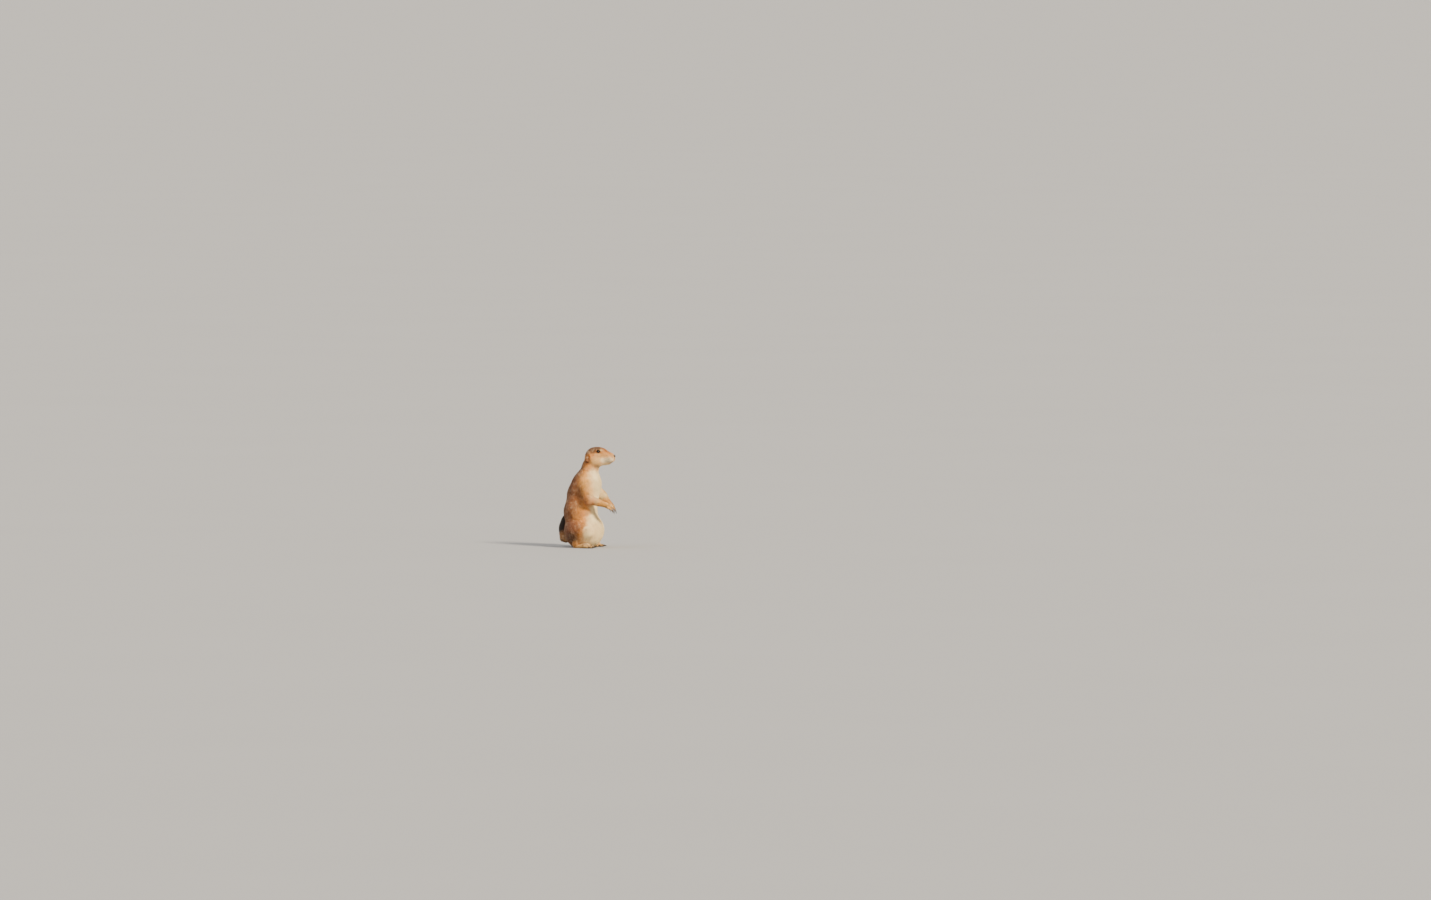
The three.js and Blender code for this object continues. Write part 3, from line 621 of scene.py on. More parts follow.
COATS = {
    Region.TRUNK: Coat(3.2, 10.5, 0.52, 3.9),
    Region.LEG: Coat(3.0, 9.0, 0.50, 4.0),
    Region.ARM: Coat(2.0, 6.8, 0.42, 5.2),
    Region.HAND: Coat(0.5, 2.4, 0.30, 9.0),
    Region.FOOT: Coat(0.7, 2.9, 0.33, 7.0),
    Region.TAIL: Coat(3.0, 9.5, 0.52, 5.0),
}
FACE_COAT = Coat(0.55, 2.3, 0.26, 12.5)
NAPE_COAT = Coat(1.9, 7.0, 0.42, 6.0)


@dataclass
class Flesh:
    """The skin's own shape, inside the outline by the coat's depth, with the face cut into it."""

    anatomy: Anatomy
    lid: float = 0.75
    lid_gap: float = 0.45
    lid_reach: float = 2.2
    opening: Pair = (4.9, 4.1)
    socket_depth: float = 3.0
    eye_clear: float = 0.06
    ear_depth: float = 0.3
    nose_clear: float = 0.1
    lip: float = 0.3
    lip_at: float = 1.5
    lip_width: float = 0.8
    groove: float = 0.55
    brush_depth: float = 4.6
    floor: float = 0.25
    face_reach: Pair = (18.0, 74.0)
    thin_round_eye: Pair = (8.0, 22.0)
    thin_round_ear: Pair = (5.0, 17.0)
    short_round_eye: Pair = (7.5, 13.0)
    cuff_reach: Pair = (4.0, 44.0)
    tail_middle: Triple = (-75.0, 33.0, 55.0)
    tail_reach: float = 48.0
    tail_front: float = -58.0
    mouth_steps: int = 13

    def __post_init__(self) -> None:
        """Settles the line of the mouth on the skin."""
        self.mouth_line: Points | None = None
        corner_points = vec(self.anatomy.mouth)
        steps = np.linspace(0, len(corner_points) - 1, self.mouth_steps)
        line = np.stack([np.interp(steps, range(len(corner_points)), c) for c in corner_points.T], 1)
        line = self.anatomy.straight(self.settle(self.anatomy.world(line), 6))
        line[0, 1] = 0.0
        self.mouth_line = line

    def coat_values(self, p: Points, parts: dict[Region, Values]) -> Points:
        """The coat's depth, length, width and density at points, one column each.

        Args:
            p: The points.
            parts: The regions' distances there.

        Returns:
            A row for each point.
        """
        shares = self.anatomy.shares(parts)
        straight = self.anatomy.straight(p)
        back = ramp(away_from(self.anatomy.nose_at, straight), *self.face_reach)[:, None]
        eye = away_from(self.anatomy.eye_at, on_left(straight))
        ear = away_from(self.anatomy.ear_at, on_left(straight))
        thin = ramp(eye, *self.thin_round_eye) * ramp(ear, *self.thin_round_ear)
        back = back * (0.3 + 0.7 * thin)[:, None]
        rows = {region: coat.row for region, coat in COATS.items()}
        values = FACE_COAT.row + (NAPE_COAT.row - FACE_COAT.row) * back
        values[:, 1] *= 0.4 + 0.6 * ramp(eye, *self.short_round_eye)
        values *= shares[Region.HEAD][:, None]
        wrist = np.min([away_from(arm["wrist"], p) for arm in self.anatomy.arms.values()], 0)
        cuff = ramp(wrist, *self.cuff_reach)[:, None]
        for region, row in rows.items():
            if region is Region.ARM:
                row = rows[Region.HAND] + (row - rows[Region.HAND]) * cuff
            values = values + shares[region][:, None] * row
        return values

    def brush_share(self, p: Points) -> Values:
        """0 on the body and 1 in the brush at the tail's end.

        Args:
            p: The points.

        Returns:
            The shares.
        """
        past = (p - vec(self.anatomy.brush_at)) @ unit(vec(self.anatomy.brush_out))
        on_tail = ((p - self.tail_middle) ** 2).sum(1) < self.tail_reach**2
        return ramp(past, -3.0, 6.0) * on_tail * (p[:, 0] < self.tail_front)

    def distance(self, p: Points) -> Values:
        """How far points are outside the skin.

        Args:
            p: The points.

        Returns:
            The distances, below zero inside.
        """
        whole, parts = self.anatomy.outline(p)
        depth = self.coat_values(p, parts)[:, 0]
        brush = self.brush_share(p)
        d = whole + depth * (1 - brush) + self.brush_depth * brush
        low, high = self.anatomy.head.reach()
        near = ((p > low - 8) & (p < high + 8)).all(1) & (d < 12) & (d > -12)
        if near.any():
            d[near] = self._with_face(self.anatomy.straight(p[near]), d[near])
        return np.maximum(d, self.floor - p[:, 2])

    def eye_frame(self) -> tuple[Points, Points, Points]:
        """The left eye's directions: outwards, towards the nose, and up.

        Returns:
            The three directions.
        """
        out = unit(vec(self.anatomy.eye_looks))
        ahead = unit(vec((1, 0, 0)) - out[0] * out)
        return out, ahead, np.cross(ahead, out)

    def opening_distance(self, p: Points) -> Values:
        """How far points are outside the almond between the lids, seen along the eye's own direction.

        Args:
            p: Points of the straight head's left half.

        Returns:
            The distances, below zero inside.
        """
        out, ahead, up = self.eye_frame()
        from_eye = p - vec(self.anatomy.eye_at)
        a, b, c = from_eye @ ahead, from_eye @ up, from_eye @ out
        wide, high = self.opening
        round_part = (np.hypot(a / wide, b / high) - 1.0) * high
        corner = (np.hypot((a - 4.3) / 1.2, (b + 1.0) / 0.7) - 1.0) * 0.7
        return np.where(c > 0, soft_min(round_part, corner, 1.5), 20.0)

    def _with_face(self, straight: Points, d: Values) -> Values:
        """Adds the lids, ears and lips to the head, and cuts the eyes, cups, nose and mouth out.

        Args:
            straight: Points of the straight head.
            d: How far they are outside the plain head.

        Returns:
            The distances from the head with its face.
        """
        p = on_left(straight)
        a = self.anatomy
        radius = away_from(a.eye_at, p)
        opening = self.opening_distance(p)
        shell = np.abs(radius - a.eye_radius - self.lid_gap) - self.lid
        d = soft_min(d, np.maximum(shell, opening - self.lid_reach), 1.8)
        d = soft_max(d, -np.maximum(opening, radius - a.eye_radius - self.socket_depth), 0.5)
        d = np.maximum(d, a.eye_radius + self.eye_clear - radius)

        flap = Egg(a.ear_at, tuple(vec(a.ear_half) - self.ear_depth), turn=turned(*a.ear_turn))
        d = soft_min(d, flap.distance(p), 2.0)
        d = soft_max(d, -self.cup_distance(p), 0.7)

        bed = Egg(a.nose_at, tuple(vec(a.nose_half) + self.nose_clear)).distance(p)
        d = np.maximum(d, -bed)
        if self.mouth_line is None:
            return d
        line = self.mouth_distance(p)
        d = d - self.lip * np.exp(-(((line - self.lip_at) / self.lip_width) ** 2))
        return soft_max(d, self.groove - line, 0.5)

    def cup_distance(self, p: Points) -> Values:
        """How far points of the straight head's left half are outside the cup of the ear."""
        at = tuple(vec(self.anatomy.ear_at) + (2.2, 3.3, 0.0))
        return Egg(at, (4.6, 3.8, 5.6), turn=turned(*self.anatomy.ear_turn)).distance(p)

    def mouth_distance(self, p: Points) -> Values:
        """How far points of the straight head's left half are from the line of the mouth.

        Args:
            p: The points.

        Returns:
            The distances.
        """
        least = np.full(len(p), 40.0)
        starts = np.concatenate([vec([self.anatomy.nose_at]) + (1.6, 0.0, -3.0), self.mouth_line[:-1]])
        for a, b in zip(starts, self.mouth_line):
            along = np.clip((p - a) @ (b - a) / ((b - a) @ (b - a) + 1e-9), 0, 1)
            least = np.minimum(least, np.linalg.norm(p - a - along[:, None] * (b - a), axis=1))
        return least

    def slope(self, p: Points, step: float = 0.06) -> tuple[Values, Points]:
        """The distances at points, and how they change along X, Y and Z.

        Args:
            p: The points.
            step: How far apart the distance is read.

        Returns:
            The distances, and a direction for each point.
        """
        d = self.distance(p)
        change = [(self.distance(p + step * axis) - d) / step for axis in np.eye(3)]
        return d, np.stack(change, 1)

    def settle(self, p: Points, rounds: int = 2, most: float = 3.0) -> Points:
        """Points moved onto the skin along its slope.

        Args:
            p: The points.
            rounds: How often they move.
            most: How far they may move in a round.

        Returns:
            The moved points.
        """
        for _ in range(rounds):
            d, g = self.slope(p)
            move = -d / np.maximum((g * g).sum(1), 0.2)
            p = p + np.clip(move, -most, most)[:, None] * g
        return p


class Planes:
    """The planes that part a box into cells, close together where the form is fine."""

    @staticmethod
    def spread(*stretches: tuple[float, float, float]) -> Values:
        """Places along an axis.

        Args:
            stretches: Each stretch's start, its end and the size of its cells.

        Returns:
            The places of the planes, in order.
        """
        pieces = [
            np.linspace(start, end, max(2, round((end - start) / cell)), endpoint=False)
            for start, end, cell in stretches
        ]
        return np.concatenate([*pieces, [stretches[-1][1]]])


@dataclass
class Grid:
    """A distance read where three sets of planes cross. It is read in full only near the surface."""

    x: Values
    y: Values
    z: Values
    stride: int = 4
    band: float = 9.0

    def read(self, distance: Callable[[Points], Values]) -> None:
        """Reads the distance, coarsely all over and finely near the surface.

        Args:
            distance: Gives the distances of points.
        """
        axes = (self.x, self.y, self.z)
        coarse_axes = [axis[:: self.stride] for axis in axes]
        coarse = np.stack(np.meshgrid(*coarse_axes, indexing="ij"), -1)
        rough = distance(coarse.reshape(-1, 3)).reshape(coarse.shape[:-1])
        picks = [np.clip(np.arange(len(a)) // self.stride, 0, len(c) - 1) for a, c in zip(axes, coarse_axes)]
        self.value = rough[np.ix_(*picks)]
        nodes = np.argwhere(np.abs(self.value) < self.band)
        places = np.stack([axis[nodes[:, k]] for k, axis in enumerate(axes)], 1)
        self.value[tuple(nodes.T)] = distance(places)

    def net(self) -> tuple[Points, np.ndarray]:
        """A net over the surface where the distance is zero.

        Returns:
            Its points, one for each cell that the surface crosses, and its four-sided faces.
        """
        v = self.value
        axes = (self.x, self.y, self.z)
        corners = [(a, b, c) for a in (0, 1) for b in (0, 1) for c in (0, 1)]
        inside = v < 0
        count = np.zeros([n - 1 for n in v.shape], np.int8)
        for a, b, c in corners:
            count += inside[a : v.shape[0] - 1 + a, b : v.shape[1] - 1 + b, c : v.shape[2] - 1 + c]
        mixed = (count > 0) & (count < 8)
        number = np.full(mixed.shape, -1, np.int64)
        number[mixed] = np.arange(mixed.sum())
        cells = np.argwhere(mixed)
        total = np.zeros((len(cells), 3))
        crossings = np.zeros(len(cells))
        for start in corners:
            for axis in range(3):
                if start[axis]:
                    continue
                end = tuple(s + (k == axis) for k, s in enumerate(start))
                one, two = cells + start, cells + end
                v1, v2 = v[tuple(one.T)], v[tuple(two.T)]
                cross = (v1 < 0) != (v2 < 0)
                t = np.where(cross, v1 / np.where(cross, v1 - v2, 1.0), 0.0)[:, None]
                p1 = np.stack([axes[k][one[:, k]] for k in range(3)], 1)
                p2 = np.stack([axes[k][two[:, k]] for k in range(3)], 1)
                total += np.where(cross[:, None], p1 + (p2 - p1) * t, 0.0)
                crossings += cross
        return total / crossings[:, None], self._faces(inside, number)

    def _faces(self, inside: np.ndarray, number: np.ndarray) -> np.ndarray:
        """The four-sided faces, one for each edge between two planes' crossings that meets the surface.

        Args:
            inside: Which of the planes' crossings are inside.
            number: Each cell's point in the net.

        Returns:
            Each face's four points, seen from outside.
        """
        faces = []
        for axis in range(3):
            u, w = (axis + 1) % 3, (axis + 2) % 3
            lower = [slice(1, -1)] * 3
            upper = [slice(1, -1)] * 3
            lower[axis], upper[axis] = slice(0, -1), slice(1, None)
            change = inside[tuple(lower)] != inside[tuple(upper)]
            nodes = np.argwhere(change) + [0 if k == axis else 1 for k in range(3)]
            step_u, step_w = np.eye(3, dtype=int)[[u, w]]
            ring = [nodes, nodes - step_u, nodes - step_u - step_w, nodes - step_w]
            quad = np.stack([number[tuple(c.T)] for c in ring], 1)
            outwards = inside[tuple(nodes.T)]
            faces.append(np.where(outwards[:, None], quad, quad[:, ::-1]))
        return np.concatenate(faces)

    def sample(self, p: Points) -> tuple[Values, Points]:
        """The distance between the planes' crossings, and how it changes along X, Y and Z.

        Args:
            p: The points.

        Returns:
            The distances, and a direction for each point.
        """
        axes = (self.x, self.y, self.z)
        at, part, size = [], [], []
        for k, axis in enumerate(axes):
            i = np.clip(np.searchsorted(axis, p[:, k]) - 1, 0, len(axis) - 2)
            width = axis[i + 1] - axis[i]
            at.append(i)
            size.append(width)
            part.append(np.clip((p[:, k] - axis[i]) / width, 0, 1))
        value = np.zeros(len(p))
        slope = np.zeros_like(p)
        for corner in np.ndindex(2, 2, 2):
            read = self.value[tuple(i + c for i, c in zip(at, corner))]
            weights = [t if c else 1 - t for t, c in zip(part, corner)]
            value += read * weights[0] * weights[1] * weights[2]
            for k in range(3):
                others = weights[(k + 1) % 3] * weights[(k + 2) % 3]
                slope[:, k] += read * others * (1 if corner[k] else -1) / size[k]
        return value, slope


@dataclass
class Drift:
    """Smooth random values in space, the same each run."""

    seed: int
    size: float

    def at(self, p: Points) -> Values:
        """Values from -1 to 1 at points, alike within the size.

        Args:
            p: The points.

        Returns:
            A value for each point.
        """
        lattice = np.random.default_rng(self.seed).uniform(-1, 1, (32, 32, 32))
        scaled = p / self.size
        low = np.floor(scaled).astype(int)
        part = scaled - low
        part = part * part * (3 - 2 * part)
        total = np.zeros(len(p))
        for corner in np.ndindex(2, 2, 2):
            weight = np.prod([part[:, k] if c else 1 - part[:, k] for k, c in enumerate(corner)], 0)
            total += weight * lattice[tuple(((low + corner) % 32).T)]
        return total


@dataclass
class Placement:
    """Where the animal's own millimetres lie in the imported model."""

    anatomy: Anatomy

    def __post_init__(self) -> None:
        """Finds the shift from the right eye, whose place is known in both."""
        low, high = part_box("eye_right")
        eye = self.anatomy.world(on_side(self.anatomy.eye_at, -1)[None])[0]
        self.shift = (np.array(low) + np.array(high)) / 2 - eye * MM

    def metres(self, p: Points) -> Points:
        """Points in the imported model's frame."""
        return p * MM + self.shift


def make_mesh(name: str, points: Points, faces: np.ndarray, sizes: np.ndarray) -> bpy.types.Object:
    """Makes a smooth mesh object.

    Args:
        name: The object's name.
        points: Its points, in metres.
        faces: The points of all its faces, one face after the other.
        sizes: How many corners each face has.

    Returns:
        The object, linked to the scene.
    """
    mesh = bpy.data.meshes.new(name)
    mesh.vertices.add(len(points))
    mesh.vertices.foreach_set("co", points.astype(np.float32).ravel())
    mesh.loops.add(len(faces))
    mesh.loops.foreach_set("vertex_index", faces.astype(np.int32))
    mesh.polygons.add(len(sizes))
    starts = np.concatenate([[0], np.cumsum(sizes)[:-1]])
    mesh.polygons.foreach_set("loop_start", starts.astype(np.int32))
    mesh.polygons.foreach_set("use_smooth", np.ones(len(sizes), bool))
    mesh.update(calc_edges=True)
    made = bpy.data.objects.new(name, mesh)
    bpy.context.scene.collection.objects.link(made)
    return made


def set_attribute(made: bpy.types.Object, name: str, values: np.ndarray) -> None:
    """Stores a number or a vector for each point of a mesh.

    Args:
        made: The mesh's object.
        name: The name that a finish reads.
        values: A row or a number for each point.
    """
    is_vector = values.ndim == 2
    kind = "FLOAT_VECTOR" if is_vector else "FLOAT"
    attribute = made.data.attributes.new(name, kind, "POINT")
    attribute.data.foreach_set("vector" if is_vector else "value", values.astype(np.float32).ravel())


def point_normals(points: Points, quads: np.ndarray) -> Points:
    """The directions outwards at the points of a net of four-sided faces.

    Args:
        points: The points.
        quads: Each face's four points.

    Returns:
        A direction for each point.
    """
    across = np.cross(points[quads[:, 2]] - points[quads[:, 0]], points[quads[:, 3]] - points[quads[:, 1]])
    total = np.zeros_like(points)
    for k in range(4):
        for axis in range(3):
            total[:, axis] += np.bincount(quads[:, k], across[:, axis], len(points))
    return unit(total)


@dataclass
class Skin:
    """The one skin of the whole animal."""

    anatomy: Anatomy
    flesh: Flesh
    placement: Placement
    coarse: float = 1.9
    fine: float = 0.55
    medium: float = 1.0
    along: float = 0.12
    tint: float = 0.5

    def build(self) -> bpy.types.Object:
        """Draws the net, settles it on the skin's shape and makes the mesh.

        Returns:
            The skin's object, with the coat's values stored on its points.
        """
        x = Planes.spread((-100, 5, self.coarse), (5, 106, self.fine))
        y = Planes.spread((-62, -32, self.medium), (-32, 42, self.fine), (42, 62, self.medium))
        z = Planes.spread(
            (-2, 24, self.medium),
            (24, 96, self.coarse),
            (96, 130, 0.8 * self.medium),
            (130, 220, self.coarse),
            (220, 286, self.fine),
        )
        self.grid = Grid(x, y, z)
        self.grid.read(self.flesh.distance)
        points, self.quads = self.grid.net()
        self.points = self.flesh.settle(points, 2, 0.8)
        self.points[:, 2] = np.maximum(self.points[:, 2], self.flesh.floor)
        self.normals = point_normals(self.points, self.quads)
        _, self.parts = self.anatomy.outline(self.points)
        self.coat = self.flesh.coat_values(self.points, self.parts)
        self.lies = self.anatomy.lies(self.points, self.normals)
        self.bare_and_crease_shade = self._bare_and_crease_shade()
        faces = self.quads.ravel()
        made = make_mesh("skin", self.placement.metres(self.points), faces, np.full(len(self.quads), 4))
        set_attribute(made, "place", self.points)
        set_attribute(made, "bare_and_crease_shade", self.bare_and_crease_shade)
        set_attribute(made, "along", np.full(len(self.points), self.along))
        set_attribute(made, "tint", np.full(len(self.points), self.tint))
        return made

    def _bare_and_crease_shade(self) -> Values:
        """1 where the skin is hairless: the rims of the lids, the lips and the ears' cups. Between two
        fingers or two toes it also marks the crease, which the finish darkens as painted shade.

        Returns:
            A value for each point of the skin.
        """
        straight = self.anatomy.straight(self.points)
        bare_and_crease_shade = np.zeros(len(self.points))
        face = self.parts[Region.HEAD] < 3.0
        p = on_left(straight)[face]
        by_eye = away_from(self.anatomy.eye_at, p) < 11
        rim = (1 - ramp(self.flesh.opening_distance(p), 0.35, 1.05)) * by_eye
        lips = 1 - ramp(self.flesh.mouth_distance(p), 0.45, 1.15)
        nose = 1 - ramp(Egg(self.anatomy.nose_at, self.anatomy.nose_half).distance(p), 0.4, 1.2)
        cup = (1 - ramp(self.flesh.cup_distance(p), 0.2, 1.0)) * 0.7
        bare_and_crease_shade[face] = np.max([rim, lips, nose, cup], 0)
        return np.maximum(bare_and_crease_shade, self._crease_shade())

    def _crease_shade(self) -> Values:
        """How deep in the crease between two fingers or two toes each point of the skin lies. The finish
        paints this crease dark, as painted shade.

        Returns:
            Values from 0 to 1.
        """
        crease_shade = np.zeros(len(self.points))
        for digits in self.anatomy.digits.values():
            far = [Limb(d.a, d.b, d.radius, d.radius * 0.87).distance(self.points) for d in digits]
            first, second = np.sort(far, axis=0)[:2]
            between = (1 - ramp(second - first, 0.2, 1.3)) * (1 - ramp(first, 0.2, 1.6))
            # painted shade: the crease between two digits gets the dark skin colour
            crease_shade = np.maximum(crease_shade, 0.85 * between)
        return crease_shade


@dataclass
class Tufts:
    """Thin tufts: a row for each tuft, and a column for each of the stations along it."""

    lines: Points
    sides: Points
    widths: Values
    roots: Points
    normals: Points
    tints: Values
    PATCH = 0.003  # how far a tuft reaches across in the map

    def pick(self, which: np.ndarray) -> Tufts:
        """Some of the tufts."""
        return Tufts(*(values[which] for values in vars(self).values()))

    def build(self, name: str, placement: Placement, floor: float = 0.12) -> bpy.types.Object:
        """Makes one mesh of all the tufts.

        Args:
            name: The object's name.
            placement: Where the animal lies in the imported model.
            floor: The lowest height of a tuft, in millimetres.

        Returns:
            The object, with its map and the values that its finish reads.
        """
        count, stations = self.lines.shape[:2]
        half = self.sides * self.widths[:, :-1, None] / 2
        left, right = self.lines[:, :-1] - half, self.lines[:, :-1] + half
        edges = np.stack([left, right], 2).reshape(count, -1, 3)
        points = np.concatenate([edges, self.lines[:, -1:]], 1)
        points[:, :, 2] = np.maximum(points[:, :, 2], floor)
        per = points.shape[1]
        first = np.arange(count)[:, None] * per
        corners = []
        for k in range(stations - 2):
            corners += [2 * k, 2 * k + 1, 2 * k + 3, 2 * k + 2]
        corners += [per - 3, per - 2, per - 1]
        faces = (first + np.array(corners)).ravel()
        sizes = np.tile([4] * (stations - 2) + [3], count)
        made = make_mesh(name, placement.metres(points.reshape(-1, 3)), faces, sizes)
        set_attribute(made, "place", np.repeat(self.roots, per, axis=0))
        set_attribute(made, "tint", np.repeat(self.tints, per))
        along = np.append(np.repeat(np.linspace(0, 1, stations)[:-1], 2), 1.0)
        set_attribute(made, "along", np.tile(along, count))
        set_attribute(made, "bare_and_crease_shade", np.zeros(count * per))
        self._map(made, faces, per)
        return made

    def _map(self, made: bpy.types.Object, faces: np.ndarray, per: int) -> None:
        """Lays each tuft in the map as a small patch at its root's place on the unfolded skin.

        Args:
            made: The tufts' object.
            faces: The points of its faces.
            per: How many points a tuft has.
        """
        centre = unfolded(self.roots, self.normals)
        spots = np.linspace(-0.5, 0.5, per // 2 + 1)
        corner_places = [(side, spots[k]) for k in range(per // 2) for side in (-0.5, 0.5)]
        corner_places.append((0.0, 0.5))
        uv = centre[:, None] + self.PATCH * np.array(corner_places)[None]
        layer = made.data.uv_layers.new(name="OFBake")
        layer.uv.foreach_set("vector", uv.reshape(-1, 2)[faces].astype(np.float32).ravel())


def unfolded(points: Points, normals: Points, margin: float = 0.03) -> Points:
    """Lays points of the skin out flat, on one of six sheets for the six ways that the skin can face.

    Args:
        points: The points.
        normals: The skin's directions outwards there.
        margin: The part of a sheet that stays free along each of its sides.

    Returns:
        Places in the map, from 0 to 1.
    """
    axis = np.abs(normals).argmax(1)
    ahead = np.take_along_axis(normals, axis[:, None], 1)[:, 0] > 0
    place = np.zeros((len(points), 2))
    for k in range(3):
        for way in (0, 1):
            here = (axis == k) & (ahead == bool(way))
            if not here.any():
                continue
            flat = np.delete(points[here], k, axis=1)
            low, high = flat.min(0), flat.max(0)
            within = (flat - low) / np.maximum(high - low, 1e-6)
            place[here] = (within * (1 - 2 * margin) + margin + (k, way)) / (3, 2)
    return place


@dataclass
class FurCoat:
    """The short fur: thin tufts that start in the skin and lie along it, out to the outline."""

    anatomy: Anatomy
    flesh: Flesh
    skin: Skin
    placement: Placement
    seed: int = 11
    most_in_a_piece: int = 60000
    stations: Sequence[float] = (0.0, 0.5, 1.0)
    station_widths: Sequence[float] = (0.8, 1.0, 0.0)
    clump: float = 0.42
    clump_pull: float = 0.55
    guard_share: float = 0.05
    guard_extra: float = 0.3
    root_depth: float = 0.35
    fill: float = 1.04
    rise_power: float = 0.32
    most_step: float = 1.5
    most_roll: float = 0.5
    own_turn: float = 0.13
    own_fullness: float = 0.12
    lengths: Pair = (0.72, 1.2)
    width_range: Pair = (0.75, 1.3)
    sway: Sequence[tuple[int, float, float]] = ((3, 13.0, 0.3), (4, 5.0, 0.16))
    bunching: Sequence[tuple[int, float, float]] = ((5, 9.0, 0.2),)
    fading: Sequence[tuple[int, float, float]] = ((6, 7.0, 0.25),)
    floor_clear: float = 0.6
    front_from: float = 14.0
    stretches: Sequence[tuple[str, float, float]] = (
        ("neck", 190.0, math.inf),
        ("chest", 120.0, 190.0),
        ("waist", 62.0, 120.0),
        ("rump", -math.inf, 62.0),
    )

    def build(self) -> list[bpy.types.Object]:
        """Grows the coat and parts it into pieces.

        Returns:
            The pieces' objects.
        """
        rng = np.random.default_rng(self.seed)
        tufts = self._grow(*self._scatter(rng), rng)
        made = []
        for name, here in self._pieces(tufts).items():
            for part, which in enumerate(np.array_split(here, -(-len(here) // self.most_in_a_piece))):
                made.append(tufts.pick(which).build(f"coat_{name}_{part + 1}", self.placement))
        return made

    def _scatter(self, rng: np.random.Generator) -> tuple[np.ndarray, Values]:
        """Picks a face of the skin and a place in it for each tuft, evenly for the coat's density.

        Args:
            rng: The draws.

        Returns:
            The faces, and how near each place is to its face's corners.
        """
        skin = self.skin
        corners = skin.points[skin.quads]
        across = np.cross(corners[:, 2] - corners[:, 0], corners[:, 3] - corners[:, 1])
        area = np.linalg.norm(across, axis=1) / 2
        bare_and_crease_shade = np.maximum(skin.bare_and_crease_shade, self.flesh.brush_share(skin.points))
        grown = skin.coat[:, 3] * (1 - bare_and_crease_shade) * (skin.points[:, 2] > self.floor_clear)
        expected = np.cumsum(area * grown[skin.quads].mean(1))
        places = np.arange(rng.uniform(), expected[-1], 1.0)
        face = np.searchsorted(expected, places)
        u, v = rng.uniform(0, 1, (2, len(face)))
        return face, np.stack([(1 - u) * (1 - v), u * (1 - v), u * v, (1 - u) * v], 1)

    def _grow(self, face: np.ndarray, weights: Values, rng: np.random.Generator) -> Tufts:
        """Bends each tuft along the skin.

        Args:
            face: The skin's face that each tuft grows from.
            weights: How near it is to each of the face's corners.
            rng: The draws.

        Returns:
            The tufts.
        """
        quads = self.skin.quads[face]

        def read(values: np.ndarray) -> np.ndarray:
            """The skin's values at the roots."""
            spread = weights if values.ndim == 1 else weights[:, :, None]
            return (values[quads] * spread).sum(1)

        roots = read(self.skin.points)
        normals = unit(read(self.skin.normals))
        coat = read(self.skin.coat)
        depth, length, width = coat[:, 0], coat[:, 1], coat[:, 2]
        lie = read(self.skin.lies)
        turn = self._drift(roots, self.sway) + rng.normal(0, self.own_turn, len(roots))
        lie = lie * np.cos(turn)[:, None] + np.cross(normals, lie) * np.sin(turn)[:, None]
        lie = unit(lie - (lie * normals).sum(1)[:, None] * normals)
        length = length * rng.uniform(*self.lengths, len(roots))
        fullness = 1 + self._drift(roots, self.bunching) + rng.normal(0, self.own_fullness, len(roots))
        guard = rng.uniform(0, 1, len(roots)) < self.guard_share
        length *= 1 + self.guard_extra * guard
        fullness += self.guard_extra * guard
        tints = rng.uniform(0, 1, len(roots)) * 0.8 + 0.1 + self._drift(roots, self.fading)

        line = self._lines(roots, normals, lie, length, depth * fullness)
        direction = unit(np.gradient(line, axis=1))
        _, out = self.skin.grid.sample(line.reshape(-1, 3))
        out = unit(0.5 * unit(out).reshape(line.shape) + 0.5 * normals[:, None])
        roll = rng.uniform(-self.most_roll, self.most_roll, len(roots))[:, None, None]
        aside = unit(np.cross(direction, out))
        sides = aside * np.cos(roll) + out * np.sin(roll)
        widths = width[:, None] * self.station_widths * rng.uniform(*self.width_range, (len(roots), 1))
        return Tufts(line, sides[:, :-1], widths, roots, normals, np.clip(tints, 0, 1))

    @staticmethod
    def _drift(roots: Points, layers: Sequence[tuple[int, float, float]]) -> Values:
        """Slow changes over the coat, from layers that each have a seed, a size and a strength."""
        return sum(strength * Drift(seed, size).at(roots) for seed, size, strength in layers)

    def _lines(self, roots: Points, normals: Points, lie: Points, length: Values, depth: Values) -> Points:
        """The middle lines of the tufts, which rise from the skin to the coat's depth and lean together.

        Args:
            roots: Where the tufts start.
            normals: The skin's directions outwards there.
            lie: The way that each tuft runs along the skin.
            length: How long each tuft is.
            depth: How far over the skin its tip lies.

        Returns:
            A row of places for each tuft, one for each station.
        """
        cell = np.maximum(self.clump * length, 1.0)[:, None]
        pull = (np.floor(roots / cell) + 0.5) * cell - roots
        pull -= (pull * normals).sum(1)[:, None] * normals
        lines = []
        for s in self.stations:
            q = roots + lie * (length * s)[:, None] + pull * (self.clump_pull * s * s)
            rise = depth * (self.fill * s**self.rise_power) - self.root_depth * (1 - s)
            for _ in range(2):
                d, slope = self.skin.grid.sample(q)
                size = np.maximum((slope * slope).sum(1), 0.25)
                step = np.clip((rise - d) / size, -self.most_step, self.most_step)
                q = q + slope * step[:, None]
            lines.append(q)
        return np.stack(lines, 1)

